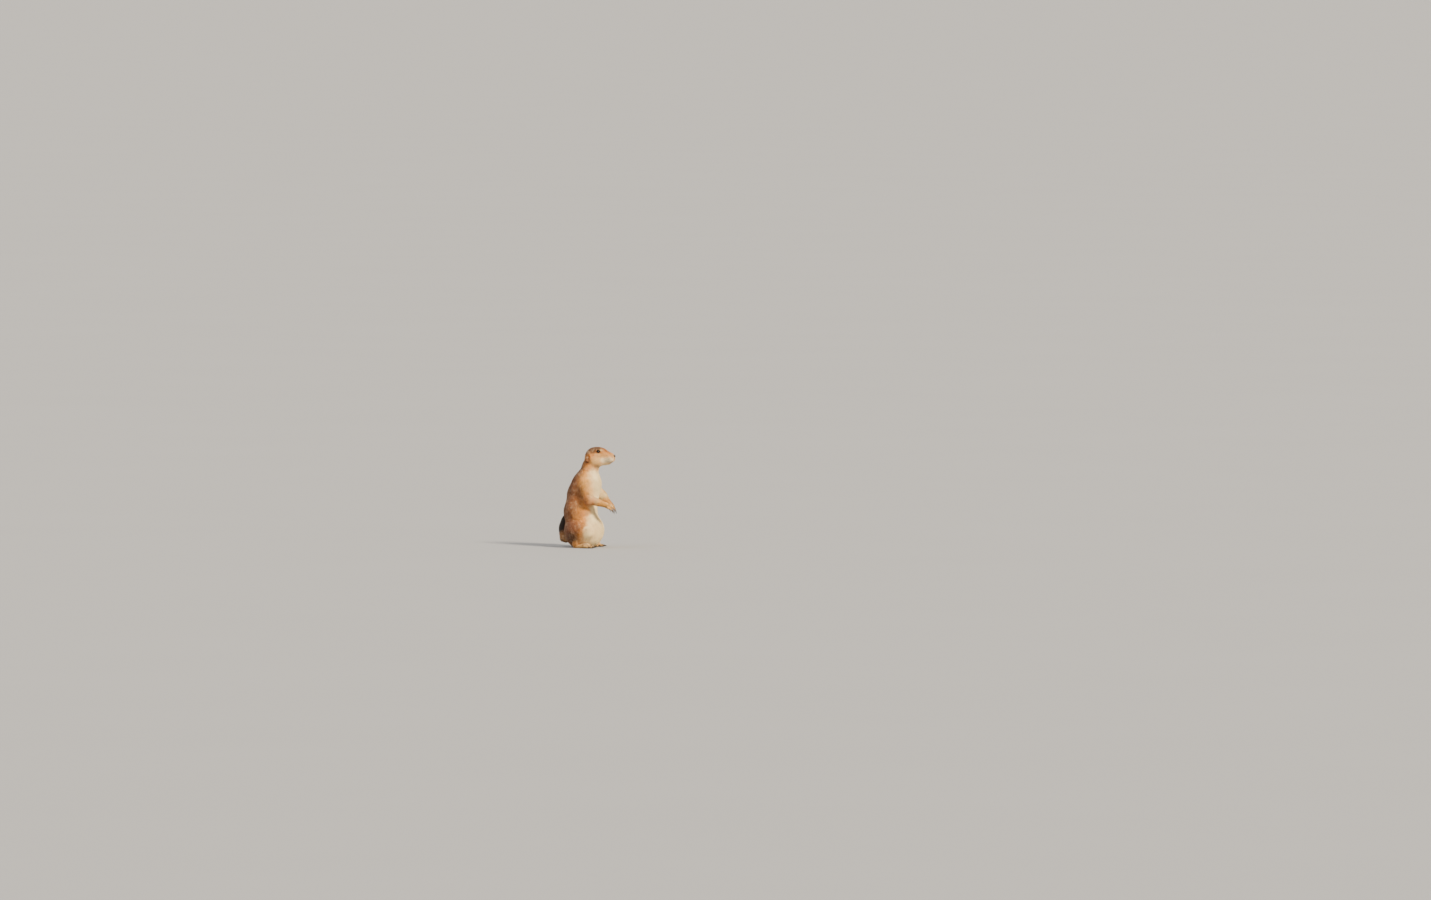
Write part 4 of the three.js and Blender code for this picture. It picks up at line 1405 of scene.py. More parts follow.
    def _pieces(self, tufts: Tufts) -> dict[str, np.ndarray]:
        """Which tufts belong to each piece of the coat.

        Args:
            tufts: All the tufts.

        Returns:
            The tufts' numbers, by the name of the piece.
        """
        _, parts = self.anatomy.outline(tufts.roots)
        regions = list(parts)
        nearest = np.argmin([parts[region] for region in regions], 0)
        x, y, z = tufts.roots.T
        pieces: dict[str, np.ndarray] = {}
        for k, region in enumerate(regions):
            here = nearest == k
            if region is Region.TRUNK:
                for stretch, low, high in self.stretches:
                    within = here & (z > low) & (z <= high)
                    pieces[f"{stretch}_front"] = np.flatnonzero(within & (x > self.front_from))
                    pieces[f"{stretch}_back"] = np.flatnonzero(within & (x <= self.front_from))
            elif region is Region.TAIL:
                pieces["tail_root"] = np.flatnonzero(here)
            else:
                pieces[f"{region.value}_left"] = np.flatnonzero(here & (y > 0))
                pieces[f"{region.value}_right"] = np.flatnonzero(here & (y <= 0))
        return {name: here for name, here in pieces.items() if len(here)}


@dataclass
class Path:
    """A smooth line through points."""

    points: Points
    STEPS = 24

    def __post_init__(self) -> None:
        """Measures the line."""
        p = self.points
        padded = np.concatenate([2 * p[:1] - p[1:2], p, 2 * p[-1:] - p[-2:-1]])
        fine = []
        for a, b, c, d in zip(padded, padded[1:], padded[2:], padded[3:]):
            t = np.linspace(0, 1, self.STEPS, endpoint=False)[:, None]
            bend = 2 * b + (c - a) * t + (2 * a - 5 * b + 4 * c - d) * t**2 + (3 * b - a - 3 * c + d) * t**3
            fine.append(bend / 2)
        self.fine = np.concatenate([*fine, self.points[-1:]])
        steps = np.linalg.norm(np.diff(self.fine, axis=0), axis=1)
        self.places = np.concatenate([[0], np.cumsum(steps)])
        self.length = float(self.places[-1])
        self.knots = self.places[:: self.STEPS][: len(self.points)]

    def at(self, s: Values) -> Points:
        """The places so far along, and straight on past the end.

        Args:
            s: How far along, in millimetres.

        Returns:
            The places.
        """
        inside = np.stack([np.interp(s, self.places, c) for c in self.fine.T], -1)
        past = np.maximum(s - self.length, 0)[..., None]
        return inside + past * unit(self.fine[-1] - self.fine[-2])

    def along(self, s: Values) -> Points:
        """The directions of the line so far along."""
        return unit(self.at(s + 0.5) - self.at(s - 0.5))


@dataclass
class TailBrush:
    """The black end of the tail, of long hair."""

    anatomy: Anatomy
    placement: Placement
    count: int = 14000
    length: float = 22.0
    width: float = 0.5
    past_end: float = 9.0
    end_radius: float = 5.0
    tip_radius: float = 0.6
    core: float = 0.42
    before_start: float = 4.0
    shortest: float = 6.0
    stray: float = 0.8
    most_roll: float = 0.8
    lengths: Pair = (0.6, 1.1)
    fullness_range: Pair = (0.35, 1.08)
    width_range: Pair = (0.7, 1.3)
    stations: Sequence[float] = (0.0, 0.34, 0.68, 1.0)
    station_widths: Sequence[float] = (0.8, 1.0, 0.7, 0.0)
    seed: int = 23

    def build(self) -> bpy.types.Object:
        """Grows the hair along the tail's middle line, out to its outline.

        Returns:
            The brush's object.
        """
        rng = np.random.default_rng(self.seed)
        path = Path(vec([p for p, _ in self.anatomy.tail]))
        radii = vec([r for _, r in self.anatomy.tail])
        radii[-1] = self.end_radius
        knots = np.append(path.knots, path.length + self.past_end)
        past = (path.fine - vec(self.anatomy.brush_at)) @ vec(self.anatomy.brush_out)
        start = path.places[(past > 0).argmax()]
        rooted = path.length - start + self.before_start / 2
        place = start - self.before_start + rooted * rng.uniform(0, 1, self.count) ** 0.85
        turn = rng.uniform(0, 2 * np.pi, self.count)
        reach = self.length * rng.uniform(*self.lengths, self.count)
        most = path.length + self.past_end * (1 - rng.uniform(0, 1, self.count) ** 2) - place
        reach = np.minimum(reach, np.maximum(most, self.shortest))
        fullness = rng.uniform(*self.fullness_range, self.count) ** 0.5
        fullness = fullness + 0.06 * np.sin(3 * turn + place * 0.2)
        lines, outs = [], []
        for s in self.stations:
            at = place + reach * s
            along = path.along(at)
            aside = unit(np.cross(along, (0.2, 1.0, 0.0)))
            over = np.cross(along, aside)
            out = aside * np.cos(turn)[:, None] + over * np.sin(turn)[:, None]
            radius = np.interp(at, knots, np.append(radii, self.tip_radius))
            rise = self.core + (fullness - self.core) * min(1.0, 1.5 * s) ** 0.8
            lines.append(path.at(at) + out * (rise * radius)[:, None])
            outs.append(out)
        line, out = np.stack(lines, 1), np.stack(outs, 1)
        line += np.array(self.stations)[:, None] ** 2 * rng.normal(0, self.stray, (self.count, 1, 3))
        direction = unit(np.gradient(line, axis=1))
        roll = rng.uniform(-self.most_roll, self.most_roll, self.count)[:, None, None]
        sides = unit(np.cross(direction, out)) * np.cos(roll) + out * np.sin(roll)
        widths = self.width * vec(self.station_widths) * rng.uniform(*self.width_range, (self.count, 1))
        tufts = Tufts(line, sides[:, :-1], widths, line[:, 0], out[:, 0], rng.uniform(0, 1, self.count))
        return tufts.build("tail_brush", self.placement)


def tube(points: Points, halves: Points, up: Points, sides: int) -> tuple[Points, np.ndarray, np.ndarray]:
    """A closed tube with an oval section.

    Args:
        points: Its middle line.
        halves: Half its width and half its height at each point of the line.
        up: The way that its height is measured.
        sides: How many sides its section has.

    Returns:
        The points of the tube, the points of its faces, and how many corners each face has.
    """
    along = unit(np.gradient(points, axis=0))
    across = unit(np.cross(up, along))
    over = np.cross(along, across)
    turn = np.linspace(0, 2 * np.pi, sides, endpoint=False)
    ring = across[:, None] * np.cos(turn)[None, :, None] * halves[:, 0][:, None, None]
    ring = ring + over[:, None] * np.sin(turn)[None, :, None] * halves[:, 1][:, None, None]
    places = (points[:, None] + ring).reshape(-1, 3)
    k = np.arange(sides)
    rows = np.arange(len(points) - 1)[:, None] * sides
    after = (k + 1) % sides
    quads = np.stack([rows + k, rows + after, rows + after + sides, rows + k + sides], -1).reshape(-1, 4)
    last = (len(points) - 1) * sides
    faces = np.concatenate([quads.ravel(), k[::-1], last + k])
    return places, faces, np.array([4] * len(quads) + [sides, sides])


@dataclass
class Claws:
    """The claws of hands and feet: curved horn, narrower than it is high."""

    anatomy: Anatomy
    placement: Placement
    steps: int = 14
    sides: int = 16
    fore_droop: float = 0.4
    hind_droop: float = 0.12
    point: float = 0.16
    sunk: float = 0.4
    lift: float = 0.25
    thickness: float = 0.58
    section: Pair = (0.86, 1.2)
    floor: float = 0.05

    def build(self) -> dict[str, bpy.types.Object]:
        """Makes each claw where its solid is.

        Returns:
            The claws, by the name of the node that each stands for.
        """
        made = {}
        for paw, digits in self.anatomy.digits.items():
            droop = self.fore_droop if paw.startswith("hand") else self.hind_droop
            for i, digit in enumerate(digits):
                name = f"{paw}_claw_{i + 1}"
                made[name] = self._claw(name, digit, droop)
        return made

    def _claw(self, name: str, digit: Digit, droop: float) -> bpy.types.Object:
        """One claw: it grows out of the digit's end and bends down to a point.

        Args:
            name: The node that it stands for.
            digit: The finger or toe.
            droop: How far its point sinks, as a share of its length.

        Returns:
            Its object.
        """
        t = np.linspace(0, 1, self.steps)
        along = unit(digit.b - digit.a)
        out = (digit.claw + (1 + self.sunk) * digit.radius) * t - self.sunk * digit.radius
        rise = self.lift * digit.radius - droop * digit.claw * t * t
        line = digit.b + out[:, None] * along + rise[:, None] * digit.up
        wide = np.maximum(self.point, self.thickness * digit.radius * (1 - t**1.4) ** 0.85)
        halves = wide[:, None] * self.section
        points, faces, sizes = tube(line, halves, digit.up, self.sides)
        points[:, 2] = np.maximum(points[:, 2], self.floor)
        made = make_mesh(f"{name}_horn", self.placement.metres(points), faces, sizes)
        set_attribute(made, "along", np.repeat(t, self.sides))
        return made


@dataclass
class Eyes:
    """The eyeballs, which the lids lie round."""

    anatomy: Anatomy
    flesh: Flesh
    placement: Placement
    rings: int = 40
    bulge: float = 0.35
    pole: float = 0.02

    def build(self) -> dict[str, bpy.types.Object]:
        """Makes both eyes, each a ball whose front bulges a little.

        Returns:
            The eyes, by the name of the node that each stands for.
        """
        made = {}
        for name, side in SIDES.items():
            out = on_side(self.flesh.eye_frame()[0], side)
            angle = np.linspace(self.pole, np.pi - self.pole, self.rings)
            front = np.cos(angle)
            radius = self.anatomy.eye_radius + self.bulge * ramp(front, 0.72, 1.0)
            line = out[None] * (front * radius)[:, None] + on_side(self.anatomy.eye_at, side)
            wide = np.sin(angle) * radius
            halves = np.stack([wide, wide], 1)
            points, faces, sizes = tube(line, halves, vec((0.0, 0.0, 1.0)), 2 * self.rings)
            points = self.anatomy.world(points)
            made[f"eye_{name}"] = make_mesh(f"eyeball_{name}", self.placement.metres(points), faces, sizes)
            set_attribute(made[f"eye_{name}"], "along", np.repeat(angle / np.pi, 2 * self.rings))
        return made


@dataclass
class Nose:
    """The hairless pad of the nose, with its two nostrils and the groove between them."""

    anatomy: Anatomy
    placement: Placement
    cell: float = 0.22
    groove_front: float = 89.6
    groove_half: float = 0.25

    def distance(self, p: Points) -> Values:
        """How far points of the straight head are outside the pad.

        Args:
            p: The points.

        Returns:
            The distances, below zero inside.
        """
        mirrored = on_left(p)
        pad = Egg(self.anatomy.nose_at, self.anatomy.nose_half).distance(mirrored)
        behind = np.maximum(0, self.groove_front - p[:, 0])
        middle = np.hypot(mirrored[:, 1], behind * 0.6) - self.groove_half
        pad = soft_max(pad, -self.nostril(mirrored), 0.5)
        return soft_max(pad, -middle, 0.5)

    @staticmethod
    def nostril(p: Points) -> Values:
        """How far points of the left half are outside the comma-shaped nostril.

        Args:
            p: The points.

        Returns:
            The distances, below zero inside.
        """
        hole = Egg((88.7, 2.9, 251.1), (2.6, 1.25, 1.15), turn=turned(35, 0, -25)).distance(p)
        slit = Egg((87.6, 4.5, 252.4), (2.6, 1.5, 0.42), turn=turned(30, 0, 0)).distance(p)
        return soft_min(hole, slit, 1.0)

    def build(self) -> bpy.types.Object:
        """Draws the pad.

        Returns:
            Its object.
        """
        at, half = vec(self.anatomy.nose_at), vec(self.anatomy.nose_half)
        axes = [Planes.spread((a - h - 1, a + h + 1, self.cell)) for a, h in zip(at, half)]
        grid = Grid(*axes, stride=1, band=30.0)
        grid.read(self.distance)
        points, quads = grid.net()
        # painted shade: how deep in a nostril each point lies, which the finish darkens
        nostril_shade = ramp(self.nostril(on_left(points)), 0.7, -0.1)
        points = self.placement.metres(self.anatomy.world(points))
        made = make_mesh("nose_pad", points, quads.ravel(), np.full(len(quads), 4))
        set_attribute(made, "nostril_shade", nostril_shade)
        return made


@dataclass
class Whiskers:
    """The long stiff hairs of the muzzle, the brow and the cheek."""

    anatomy: Anatomy
    skin: Skin
    placement: Placement
    thickness: float = 0.11
    seed: int = 31
    rows: int = 4
    first: Triple = (80.5, 10.5, 248.0)
    row_gap: float = 2.3
    gap: float = 3.1
    shortest: float = 15.0
    droop: Triple = (-0.22, 0.0, -0.2)
    stray_root: float = 0.5
    stray_way: float = 0.11
    lengths: Pair = (0.8, 1.15)
    brow_and_cheek: Sequence[tuple[Triple, Triple, float]] = (
        ((47.0, 15.5, 270.0), (-0.2, 0.55, 0.85), 9.0),
        ((43.5, 16.5, 270.5), (-0.5, 0.55, 0.8), 11.0),
        ((49.0, 22.0, 243.0), (-0.4, 0.9, -0.25), 14.0),
    )

    def build(self) -> bpy.types.Object:
        """Makes all the whiskers as one mesh.

        Returns:
            Its object.
        """
        rng = np.random.default_rng(self.seed)
        sets = []
        x, y, z = self.first
        for row in range(self.rows):
            for k in range(4 if row % 2 else 3):
                at = (x - self.gap * k - 0.6 * row, y, z - self.row_gap * row)
                way = (-0.42 - 0.1 * k, 0.86, -0.05 - 0.16 * row)
                sets.append((at, way, self.shortest + 3.6 * k))
        sets += self.brow_and_cheek
        tubes = []
        for side in SIDES.values():
            for at, way, length in sets:
                tubes.append(self._whisker(on_side(at, side), on_side(way, side), length, rng))
        points, faces, sizes, first = [], [], [], 0
        for p, f, s in tubes:
            points.append(p)
            faces.append(f + first)
            sizes.append(s)
            first += len(p)
        joined = self.placement.metres(self.anatomy.world(np.concatenate(points)))
        return make_mesh("whiskers", joined, np.concatenate(faces), np.concatenate(sizes))

    def _whisker(
        self, at: Points, way: Points, length: float, rng: np.random.Generator
    ) -> tuple[Points, np.ndarray, np.ndarray]:
        """One whisker, from the skin outwards, bent back by its own spring.

        Args:
            at: Where it grows, near the skin of the straight head.
            way: The way that it points.
            length: Its length.
            rng: The draws.

        Returns:
            The points, faces and corners of its tube.
        """
        root = self.anatomy.world(at[None] + rng.normal(0, self.stray_root, 3))
        for _ in range(5):
            d, slope = self.skin.grid.sample(root)
            root = root - slope * (d / np.maximum((slope * slope).sum(1), 0.25))[:, None]
        root = self.anatomy.straight(root)[0]
        way = unit(way + rng.normal(0, self.stray_way, 3))
        length = length * rng.uniform(*self.lengths)
        t = np.linspace(-0.05, 1, 12)[:, None]
        line = root + way * length * t + vec(self.droop) * length * t * np.abs(t)
        wide = self.thickness * (1 - 0.88 * np.clip(t, 0, 1))
        return tube(line, np.concatenate([wide, wide], 1), vec((0.1, 0.0, 1.0)), 5)


class Link:
    """A number in a material. Sums and products of links add the nodes that work them out."""

    def __init__(self, wiring: Wiring, socket: bpy.types.NodeSocket) -> None:
        """Wraps a socket that gives a number."""
        self.wiring = wiring
        self.socket = socket

    def __add__(self, other: Any) -> Link:
        """self + other"""
        return self.wiring.math("ADD", self, other)

    def __radd__(self, other: Any) -> Link:
        """other + self"""
        return self.wiring.math("ADD", other, self)

    def __sub__(self, other: Any) -> Link:
        """self - other"""
        return self.wiring.math("SUBTRACT", self, other)

    def __rsub__(self, other: Any) -> Link:
        """other - self"""
        return self.wiring.math("SUBTRACT", other, self)

    def __mul__(self, other: Any) -> Link:
        """self * other"""
        return self.wiring.math("MULTIPLY", self, other)

    def __rmul__(self, other: Any) -> Link:
        """other * self"""
        return self.wiring.math("MULTIPLY", other, self)


class Wiring:
    """A material under construction."""

    COLOUR_MIX = (0, 6, 7)  # a Mix node's sockets for the share and for its two colours
    COLOUR_RESULT = 2

    def __init__(self, name: str) -> None:
        """Starts an empty material with a shader and an output.

        Args:
            name: The material's name.
        """
        self.material = bpy.data.materials.new(name)
        self.material.use_nodes = True
        self.tree = self.material.node_tree
        self.tree.nodes.clear()
        self.shader = self.node("ShaderNodeBsdfPrincipled", {})
        self.node("ShaderNodeOutputMaterial", {}, Surface=self.shader.outputs[0])

    def node(self, kind: str, settings: dict[str, Any], *places: Any, **named: Any) -> bpy.types.Node:
        """Adds a node.

        Args:
            kind: The node's type.
            settings: Its own settings, which are set first.
            places: Values or links for its first sockets, in order. None leaves a socket alone.
            named: Values or links for sockets by name, with _ for a space.

        Returns:
            The node.
        """
        made = self.tree.nodes.new(kind)
        for key, value in settings.items():
            setattr(made, key, value)
        sockets = [(made.inputs[i], v) for i, v in enumerate(places) if v is not None]
        sockets += [(made.inputs[key.replace("_", " ")], v) for key, v in named.items()]
        for socket, value in sockets:
            self._feed(socket, value)
        return made

    def _feed(self, socket: bpy.types.NodeSocket, value: Any) -> None:
        """Gives a socket a link, or a value of its own.

        Args:
            socket: The socket.
            value: A link, a socket or a plain value.
        """
        source = value.socket if isinstance(value, Link) else value
        if isinstance(source, bpy.types.NodeSocket):
            self.tree.links.new(source, socket)
        else:
            socket.default_value = source

    def math(self, operation: str, *values: Any) -> Link:
        """The result of a Math node."""
        return Link(self, self.node("ShaderNodeMath", {"operation": operation}, *values).outputs[0])

    def vector(self, operation: str, *values: Any, number: bool = False) -> Any:
        """The result of a Vector Math node, as a number where that is what it gives."""
        made = self.node("ShaderNodeVectorMath", {"operation": operation}, *values)
        return Link(self, made.outputs["Value"]) if number else made.outputs["Vector"]

    def smooth(self, value: Any, low: float, high: float) -> Link:
        """Runs smoothly from 0 where the value is low to 1 where it is high. Low may be the larger one.

        Args:
            value: The value.
            low: Where it gives 0.
            high: Where it gives 1.

        Returns:
            The number from 0 to 1.
        """
        first, last, start, end = (low, high, 0.0, 1.0) if low < high else (high, low, 1.0, 0.0)
        made = self.node(
            "ShaderNodeMapRange", {"interpolation_type": "SMOOTHSTEP"}, value, first, last, start, end
        )
        return Link(self, made.outputs[0])

    def mix(self, share: Any, one: Any, two: Any) -> bpy.types.NodeSocket:
        """One colour, with a share of another over it.

        Args:
            share: How much of the second colour is seen.
            one: The first colour.
            two: The second colour.

        Returns:
            The mixed colour.
        """
        made = self.node("ShaderNodeMix", {"data_type": "RGBA"})
        for place, value in zip(self.COLOUR_MIX, (share, one, two)):
            self._feed(made.inputs[place], value)
        return made.outputs[self.COLOUR_RESULT]

    def noise(self, place: Any, scale: float, detail: float = 2.0) -> Link:
        """Soft noise from 0 to 1, with so many grains along a unit of the place."""
        made = self.node("ShaderNodeTexNoise", {}, place, None, scale, detail)
        return Link(self, made.outputs[0])

    def stored(self, name: str) -> Link:
        """A number that is stored on the points of the mesh."""
        return Link(self, self.node("ShaderNodeAttribute", {"attribute_name": name}).outputs["Fac"])

    def stored_place(self) -> bpy.types.NodeSocket:
        """The place on the skin, in the animal's own millimetres, that is stored on the mesh."""
        return self.node("ShaderNodeAttribute", {"attribute_name": "place"}).outputs["Vector"]

    def own_place(self) -> bpy.types.NodeSocket:
        """The place in the mesh's own frame, in metres."""
        return self.node("ShaderNodeTexCoord", {}).outputs["Object"]

    def finish(self, colour: Any, roughness: Any, **fixed: Any) -> bpy.types.Material:
        """Sets the shader.

        Args:
            colour: The base colour.
            roughness: The roughness.
            fixed: The shader's other sockets, with _ for a space.

        Returns:
            The finished material.
        """
        values = {"Base Color": colour, "Roughness": roughness}
        values.update({key.replace("_", " "): value for key, value in fixed.items()})
        for key, value in values.items():
            self._feed(self.shader.inputs[key], value)
        return self.material


def tone(code: str) -> tuple[float, float, float, float]:
    """A colour from its six hexadecimal digits, as the light that it gives back.

    Args:
        code: The digits.

    Returns:
        Its red, green and blue in linear light, and 1.
    """
    parts = [int(code[i : i + 2], 16) / 255 for i in (0, 2, 4)]
    linear = [c / 12.92 if c <= 0.04045 else ((c + 0.055) / 1.055) ** 2.4 for c in parts]
    return (*linear, 1.0)


@dataclass(frozen=True)
class Patch:
    """A patch of colour on the coat: an ellipsoid in the animal's frame, alike on both sides."""

    colour: str
    at: Triple
    half: Triple
    share: float = 1.0
    edge: float = 0.35
    on_head: bool = False


@dataclass(frozen=True)
class Markings:
    """The colours of the coat, which skin and tufts share; some of the darker colour is painted shade."""

    flank: str = "da8e38"
    back: str = "935420"
    # the back's darker fur, with painted shade of the side turned from the light
    dark_back_and_shade: str = "673816"
    # darkest along the rear of the back: darker fur and painted shade
    belly: str = "f8e1a9"
    pale_fleck: str = "f2d3a2"
    dark_fleck: str = "6e4527"
    spine_lean: float = 0.13
    spine_height: float = 60.0
    back_edge: Pair = (-4.0, -28.0)
    dark_back_and_shade_edge: Pair = (-26.0, -52.0)
    belly_edge: Pair = (8.0, 30.0)
    stray_on_body: float = 15.0
    stray_on_head: float = 4.0
    patches: Sequence[Patch] = (
        Patch("eab45e", (30, 20, 175), (30, 26, 34), 0.7),
        Patch("fae6b1", (48, 8, 190), (26, 26, 46), 0.95, 0.45),
        Patch("fae6b3", (50, 0, 120), (26, 34, 60), 0.95, 0.4),
        Patch("cf7826", (30, 42, 131), (18, 14, 15), 0.85, 0.6),
        # darker brown fur, with painted shade where the upper arm meets the body behind the shoulder
        Patch("78401a", (0, 40, 150), (14, 18, 28), 0.75, 0.6),
        Patch("e8a643", (60, 28, 122), (22, 16, 16), 0.9),
        Patch("dea344", (86, 20, 112), (14, 16, 14), 0.9),
        # reddish-brown haunch fur, darkened with painted shade between rump and thigh
        Patch("843e12", (-10, 44, 58), (20, 22, 22), 0.85, 0.6),
        # painted shadow under the haunch
        Patch("482610", (-17, 42, 34), (24, 20, 16), 0.8, 0.6),
        Patch("f9e1aa", (38, 36, 40), (18, 22, 36), 0.9, 0.4),
        Patch("e0b46e", (24, 38, 4), (40, 22, 11), 0.9),
        Patch("8f6332", (-56, 8, 24), (18, 16, 16), 0.8, 0.5),
        Patch("2a1c14", (-73, 27, 38), (10, 9, 6), 0.9, 0.6),
        Patch("d88a34", (38, 0, 252), (50, 34, 34), 1.0, 0.25, True),
        # darker nape fur, with painted shade on the neck's shaded back
        Patch("663a14", (-4, 0, 222), (17, 26, 36), 0.9, 0.5, True),
        Patch("643812", (26, 0, 281), (37, 30, 24), 1.0, 0.3, True),
        Patch("b46c28", (64, 0, 268), (24, 9, 9), 0.9, 0.4, True),
        Patch("efc47d", (50, 22, 240), (20, 14, 13), 0.85, 0.5, True),
        Patch("f8e7c1", (68, 11, 242.5), (19, 13, 9), 0.95, 0.4, True),
        Patch("f2d598", (58, 0, 228), (30, 18, 8), 0.9, 0.4, True),
        Patch("e6b168", (62, 12, 254), (16, 8, 7), 0.7, 0.5, True),
        Patch("85491c", (16, 24, 246), (10.5, 12, 13), 0.9, 0.4, True),
        Patch("f3d598", (51, 13, 268), (8, 7, 3.8), 0.65, 0.6, True),
        Patch("ecc789", (45, 16, 257.5), (10, 8, 3.4), 0.8, 0.5, True),
        Patch("6b4321", (41, 14, 271.5), (9, 7, 2.2), 0.6, 0.6, True),
        Patch("5c361c", (34, 18, 263.5), (6, 8, 3.4), 0.75, 0.6, True),
    )

    def colour(self, wiring: Wiring, place: Any) -> tuple[Any, Link]:
        """Works the coat's colour out from a place on the skin.

        Args:
            wiring: The material.
            place: The place, in the animal's own millimetres.

        Returns:
            The colour, and how pale it is from 0 to 1.
        """
        stray = wiring.node("ShaderNodeTexNoise", {}, place, None, 0.09, 3.0).outputs["Color"]
        worn = self._strayed(wiring, place, stray, self.stray_on_body)
        split = wiring.node("ShaderNodeSeparateXYZ", {}, worn)
        x, _, z = (Link(wiring, socket) for socket in split.outputs)
        spine = x - self.spine_lean * (z - self.spine_height)
        # darker towards the back: dorsal fur deepened with painted shade of the side turned from the light
        colour = wiring.mix(wiring.smooth(spine, *self.back_edge), tone(self.flank), tone(self.back))
        colour = wiring.mix(wiring.smooth(spine, *self.dark_back_and_shade_edge) * 0.75, colour, tone(self.dark_back_and_shade))
        colour = wiring.mix(wiring.smooth(spine, *self.belly_edge), colour, tone(self.belly))
        body = self._mirrored(wiring, worn)
        turn = wiring.node(
            "ShaderNodeVectorRotate",
            {"rotation_type": "Z_AXIS"},
            self._strayed(wiring, place, stray, self.stray_on_head),
            Anatomy.head_pivot,
            Angle=-math.radians(Anatomy.head_turn),
        )
        head = self._mirrored(wiring, turn.outputs[0])
        for patch in self.patches:
            colour = self._laid(wiring, colour, head if patch.on_head else body, patch)
        mottle = wiring.noise(place, 0.17, 4.0)
        colour = wiring.mix(wiring.smooth(mottle, 0.54, 0.7) * 0.3, colour, tone(self.pale_fleck))
        colour = wiring.mix(wiring.smooth(mottle, 0.46, 0.3) * 0.22, colour, tone(self.dark_fleck))
        dark = wiring.node("ShaderNodeRGBToBW", {}, colour)
        return colour, wiring.smooth(Link(wiring, dark.outputs[0]), 0.3, 0.7)

    @staticmethod
    def _strayed(wiring: Wiring, place: Any, stray: Any, reach: float) -> Any:
        """The place moved about by noise, so that the edge of a colour is uneven.

        Args:
            wiring: The material.
            place: The place.
            stray: A noise of three values.
            reach: How far the noise moves it.

        Returns:
            The moved place.
        """
        shift = wiring.vector("SCALE", wiring.vector("SUBTRACT", stray, (0.5, 0.5, 0.5)))
        shift.node.inputs["Scale"].default_value = reach
        return wiring.vector("ADD", place, shift)

    @staticmethod
    def _mirrored(wiring: Wiring, place: Any) -> Any:
        """The place on the left side that is like this one.

        Args:
            wiring: The material.
            place: The place.

        Returns:
            The place on the left.
        """
        split = wiring.node("ShaderNodeSeparateXYZ", {}, place)
        aside = wiring.math("ABSOLUTE", split.outputs[1])
        return wiring.node("ShaderNodeCombineXYZ", {}, split.outputs[0], aside, split.outputs[2]).outputs[0]

    @staticmethod
    def _laid(wiring: Wiring, colour: Any, place: Any, patch: Patch) -> Any:
        """A patch laid over the colour.

        Args:
            wiring: The material.
            colour: The colour below.
            place: The place on the left.
            patch: The patch.

        Returns:
            The colour with the patch.
        """
        apart = wiring.vector("SUBTRACT", place, patch.at)
        scaled = wiring.vector("DIVIDE", apart, patch.half)
        far = wiring.vector("LENGTH", scaled, number=True)
        share = wiring.smooth(far, 1.0 + patch.edge, 1.0 - patch.edge) * patch.share
        return wiring.mix(share, colour, tone(patch.colour))


@dataclass(frozen=True)
class FurFinish:
    """Fur: banded hairs, some with dark or pale tips, over skin that is hairless at the lids and lips, with
    painted shade in the crease between each two fingers or toes.
    """

    markings: Markings = Markings()
    roughness: float = 0.62
    # the colour of hairless skin, also used as painted shade in the crease between digits
    bare_skin_and_crease_shade: str = "2b1c17"
    dark_tip: str = "35200f"
    pale_tip: str = "f6e2bd"
    grain: str = "7a5433"
    root_shade: Triple = (0.42, 0.34, 0.28)

    def make(self, name: str, bump: bool) -> bpy.types.Material:
        """Makes the material.

        Args:
            name: Its name.
            bump: Whether it has the grain of short fur by itself, as on the skin.

        Returns:
            The finished material.
        """
        wiring = Wiring(name)
        place = wiring.stored_place()
        tint = wiring.stored("tint")
        along = wiring.stored("along")
        bare_and_crease_shade = wiring.stored("bare_and_crease_shade")
        colour, pale = self.markings.colour(wiring, place)
        shaded = wiring.vector("MULTIPLY", colour, self.root_shade)
        colour = wiring.mix(wiring.smooth(along, 0.6, 0.0) * (0.7 - 0.3 * pale), colour, shaded)
        darker = wiring.smooth(tint, 0.36, 0.06) * wiring.smooth(along, 0.1, 0.8) * (0.7 - 0.6 * pale)
        colour = wiring.mix(darker, colour, tone(self.dark_tip))
        lighter = wiring.smooth(tint, 0.6, 1.0) * wiring.smooth(along, 0.1, 0.9) * 0.42
        colour = wiring.mix(lighter, colour, tone(self.pale_tip))
        grain = wiring.noise(place, 0.5, 4.0)
        colour = wiring.mix((grain - 0.35) * 0.5, colour, tone(self.grain))
        # hairless skin at the lids and lips, and painted shade in the crease between digits
        colour = wiring.mix(bare_and_crease_shade, colour, tone(self.bare_skin_and_crease_shade))
        values: dict[str, Any] = {"Specular_IOR_Level": 0.3, "Sheen_Weight": 0.25, "Sheen_Roughness": 0.4}
        if bump:
            height = wiring.noise(place, 2.2, 5.0)
            made = wiring.node("ShaderNodeBump", {}, 0.5, 0.0006, Height=height)
            values["Normal"] = made.outputs[0]
        return wiring.finish(colour, self.roughness - 0.2 * bare_and_crease_shade, **values)


@dataclass(frozen=True)
class BrushFinish:
    """The black-brown hair of the tail's end, a little paler at some tips."""

    dark: str = "17100c"
    brown: str = "5a3c27"

    def make(self) -> bpy.types.Material:
        """Makes the material.

        Returns:
            The finished material.
        """
        wiring = Wiring("tail_black_hair")
        tint = wiring.stored("tint")
        along = wiring.stored("along")
        place = wiring.stored_place()
        share = wiring.smooth(tint, 0.6, 1.0) * 0.8 + wiring.noise(place, 0.12) * 0.25
        colour = wiring.mix(share * (1.1 - 0.6 * along), tone(self.dark), tone(self.brown))
        return wiring.finish(colour, 0.38 + 0.2 * tint, Specular_IOR_Level=0.5)


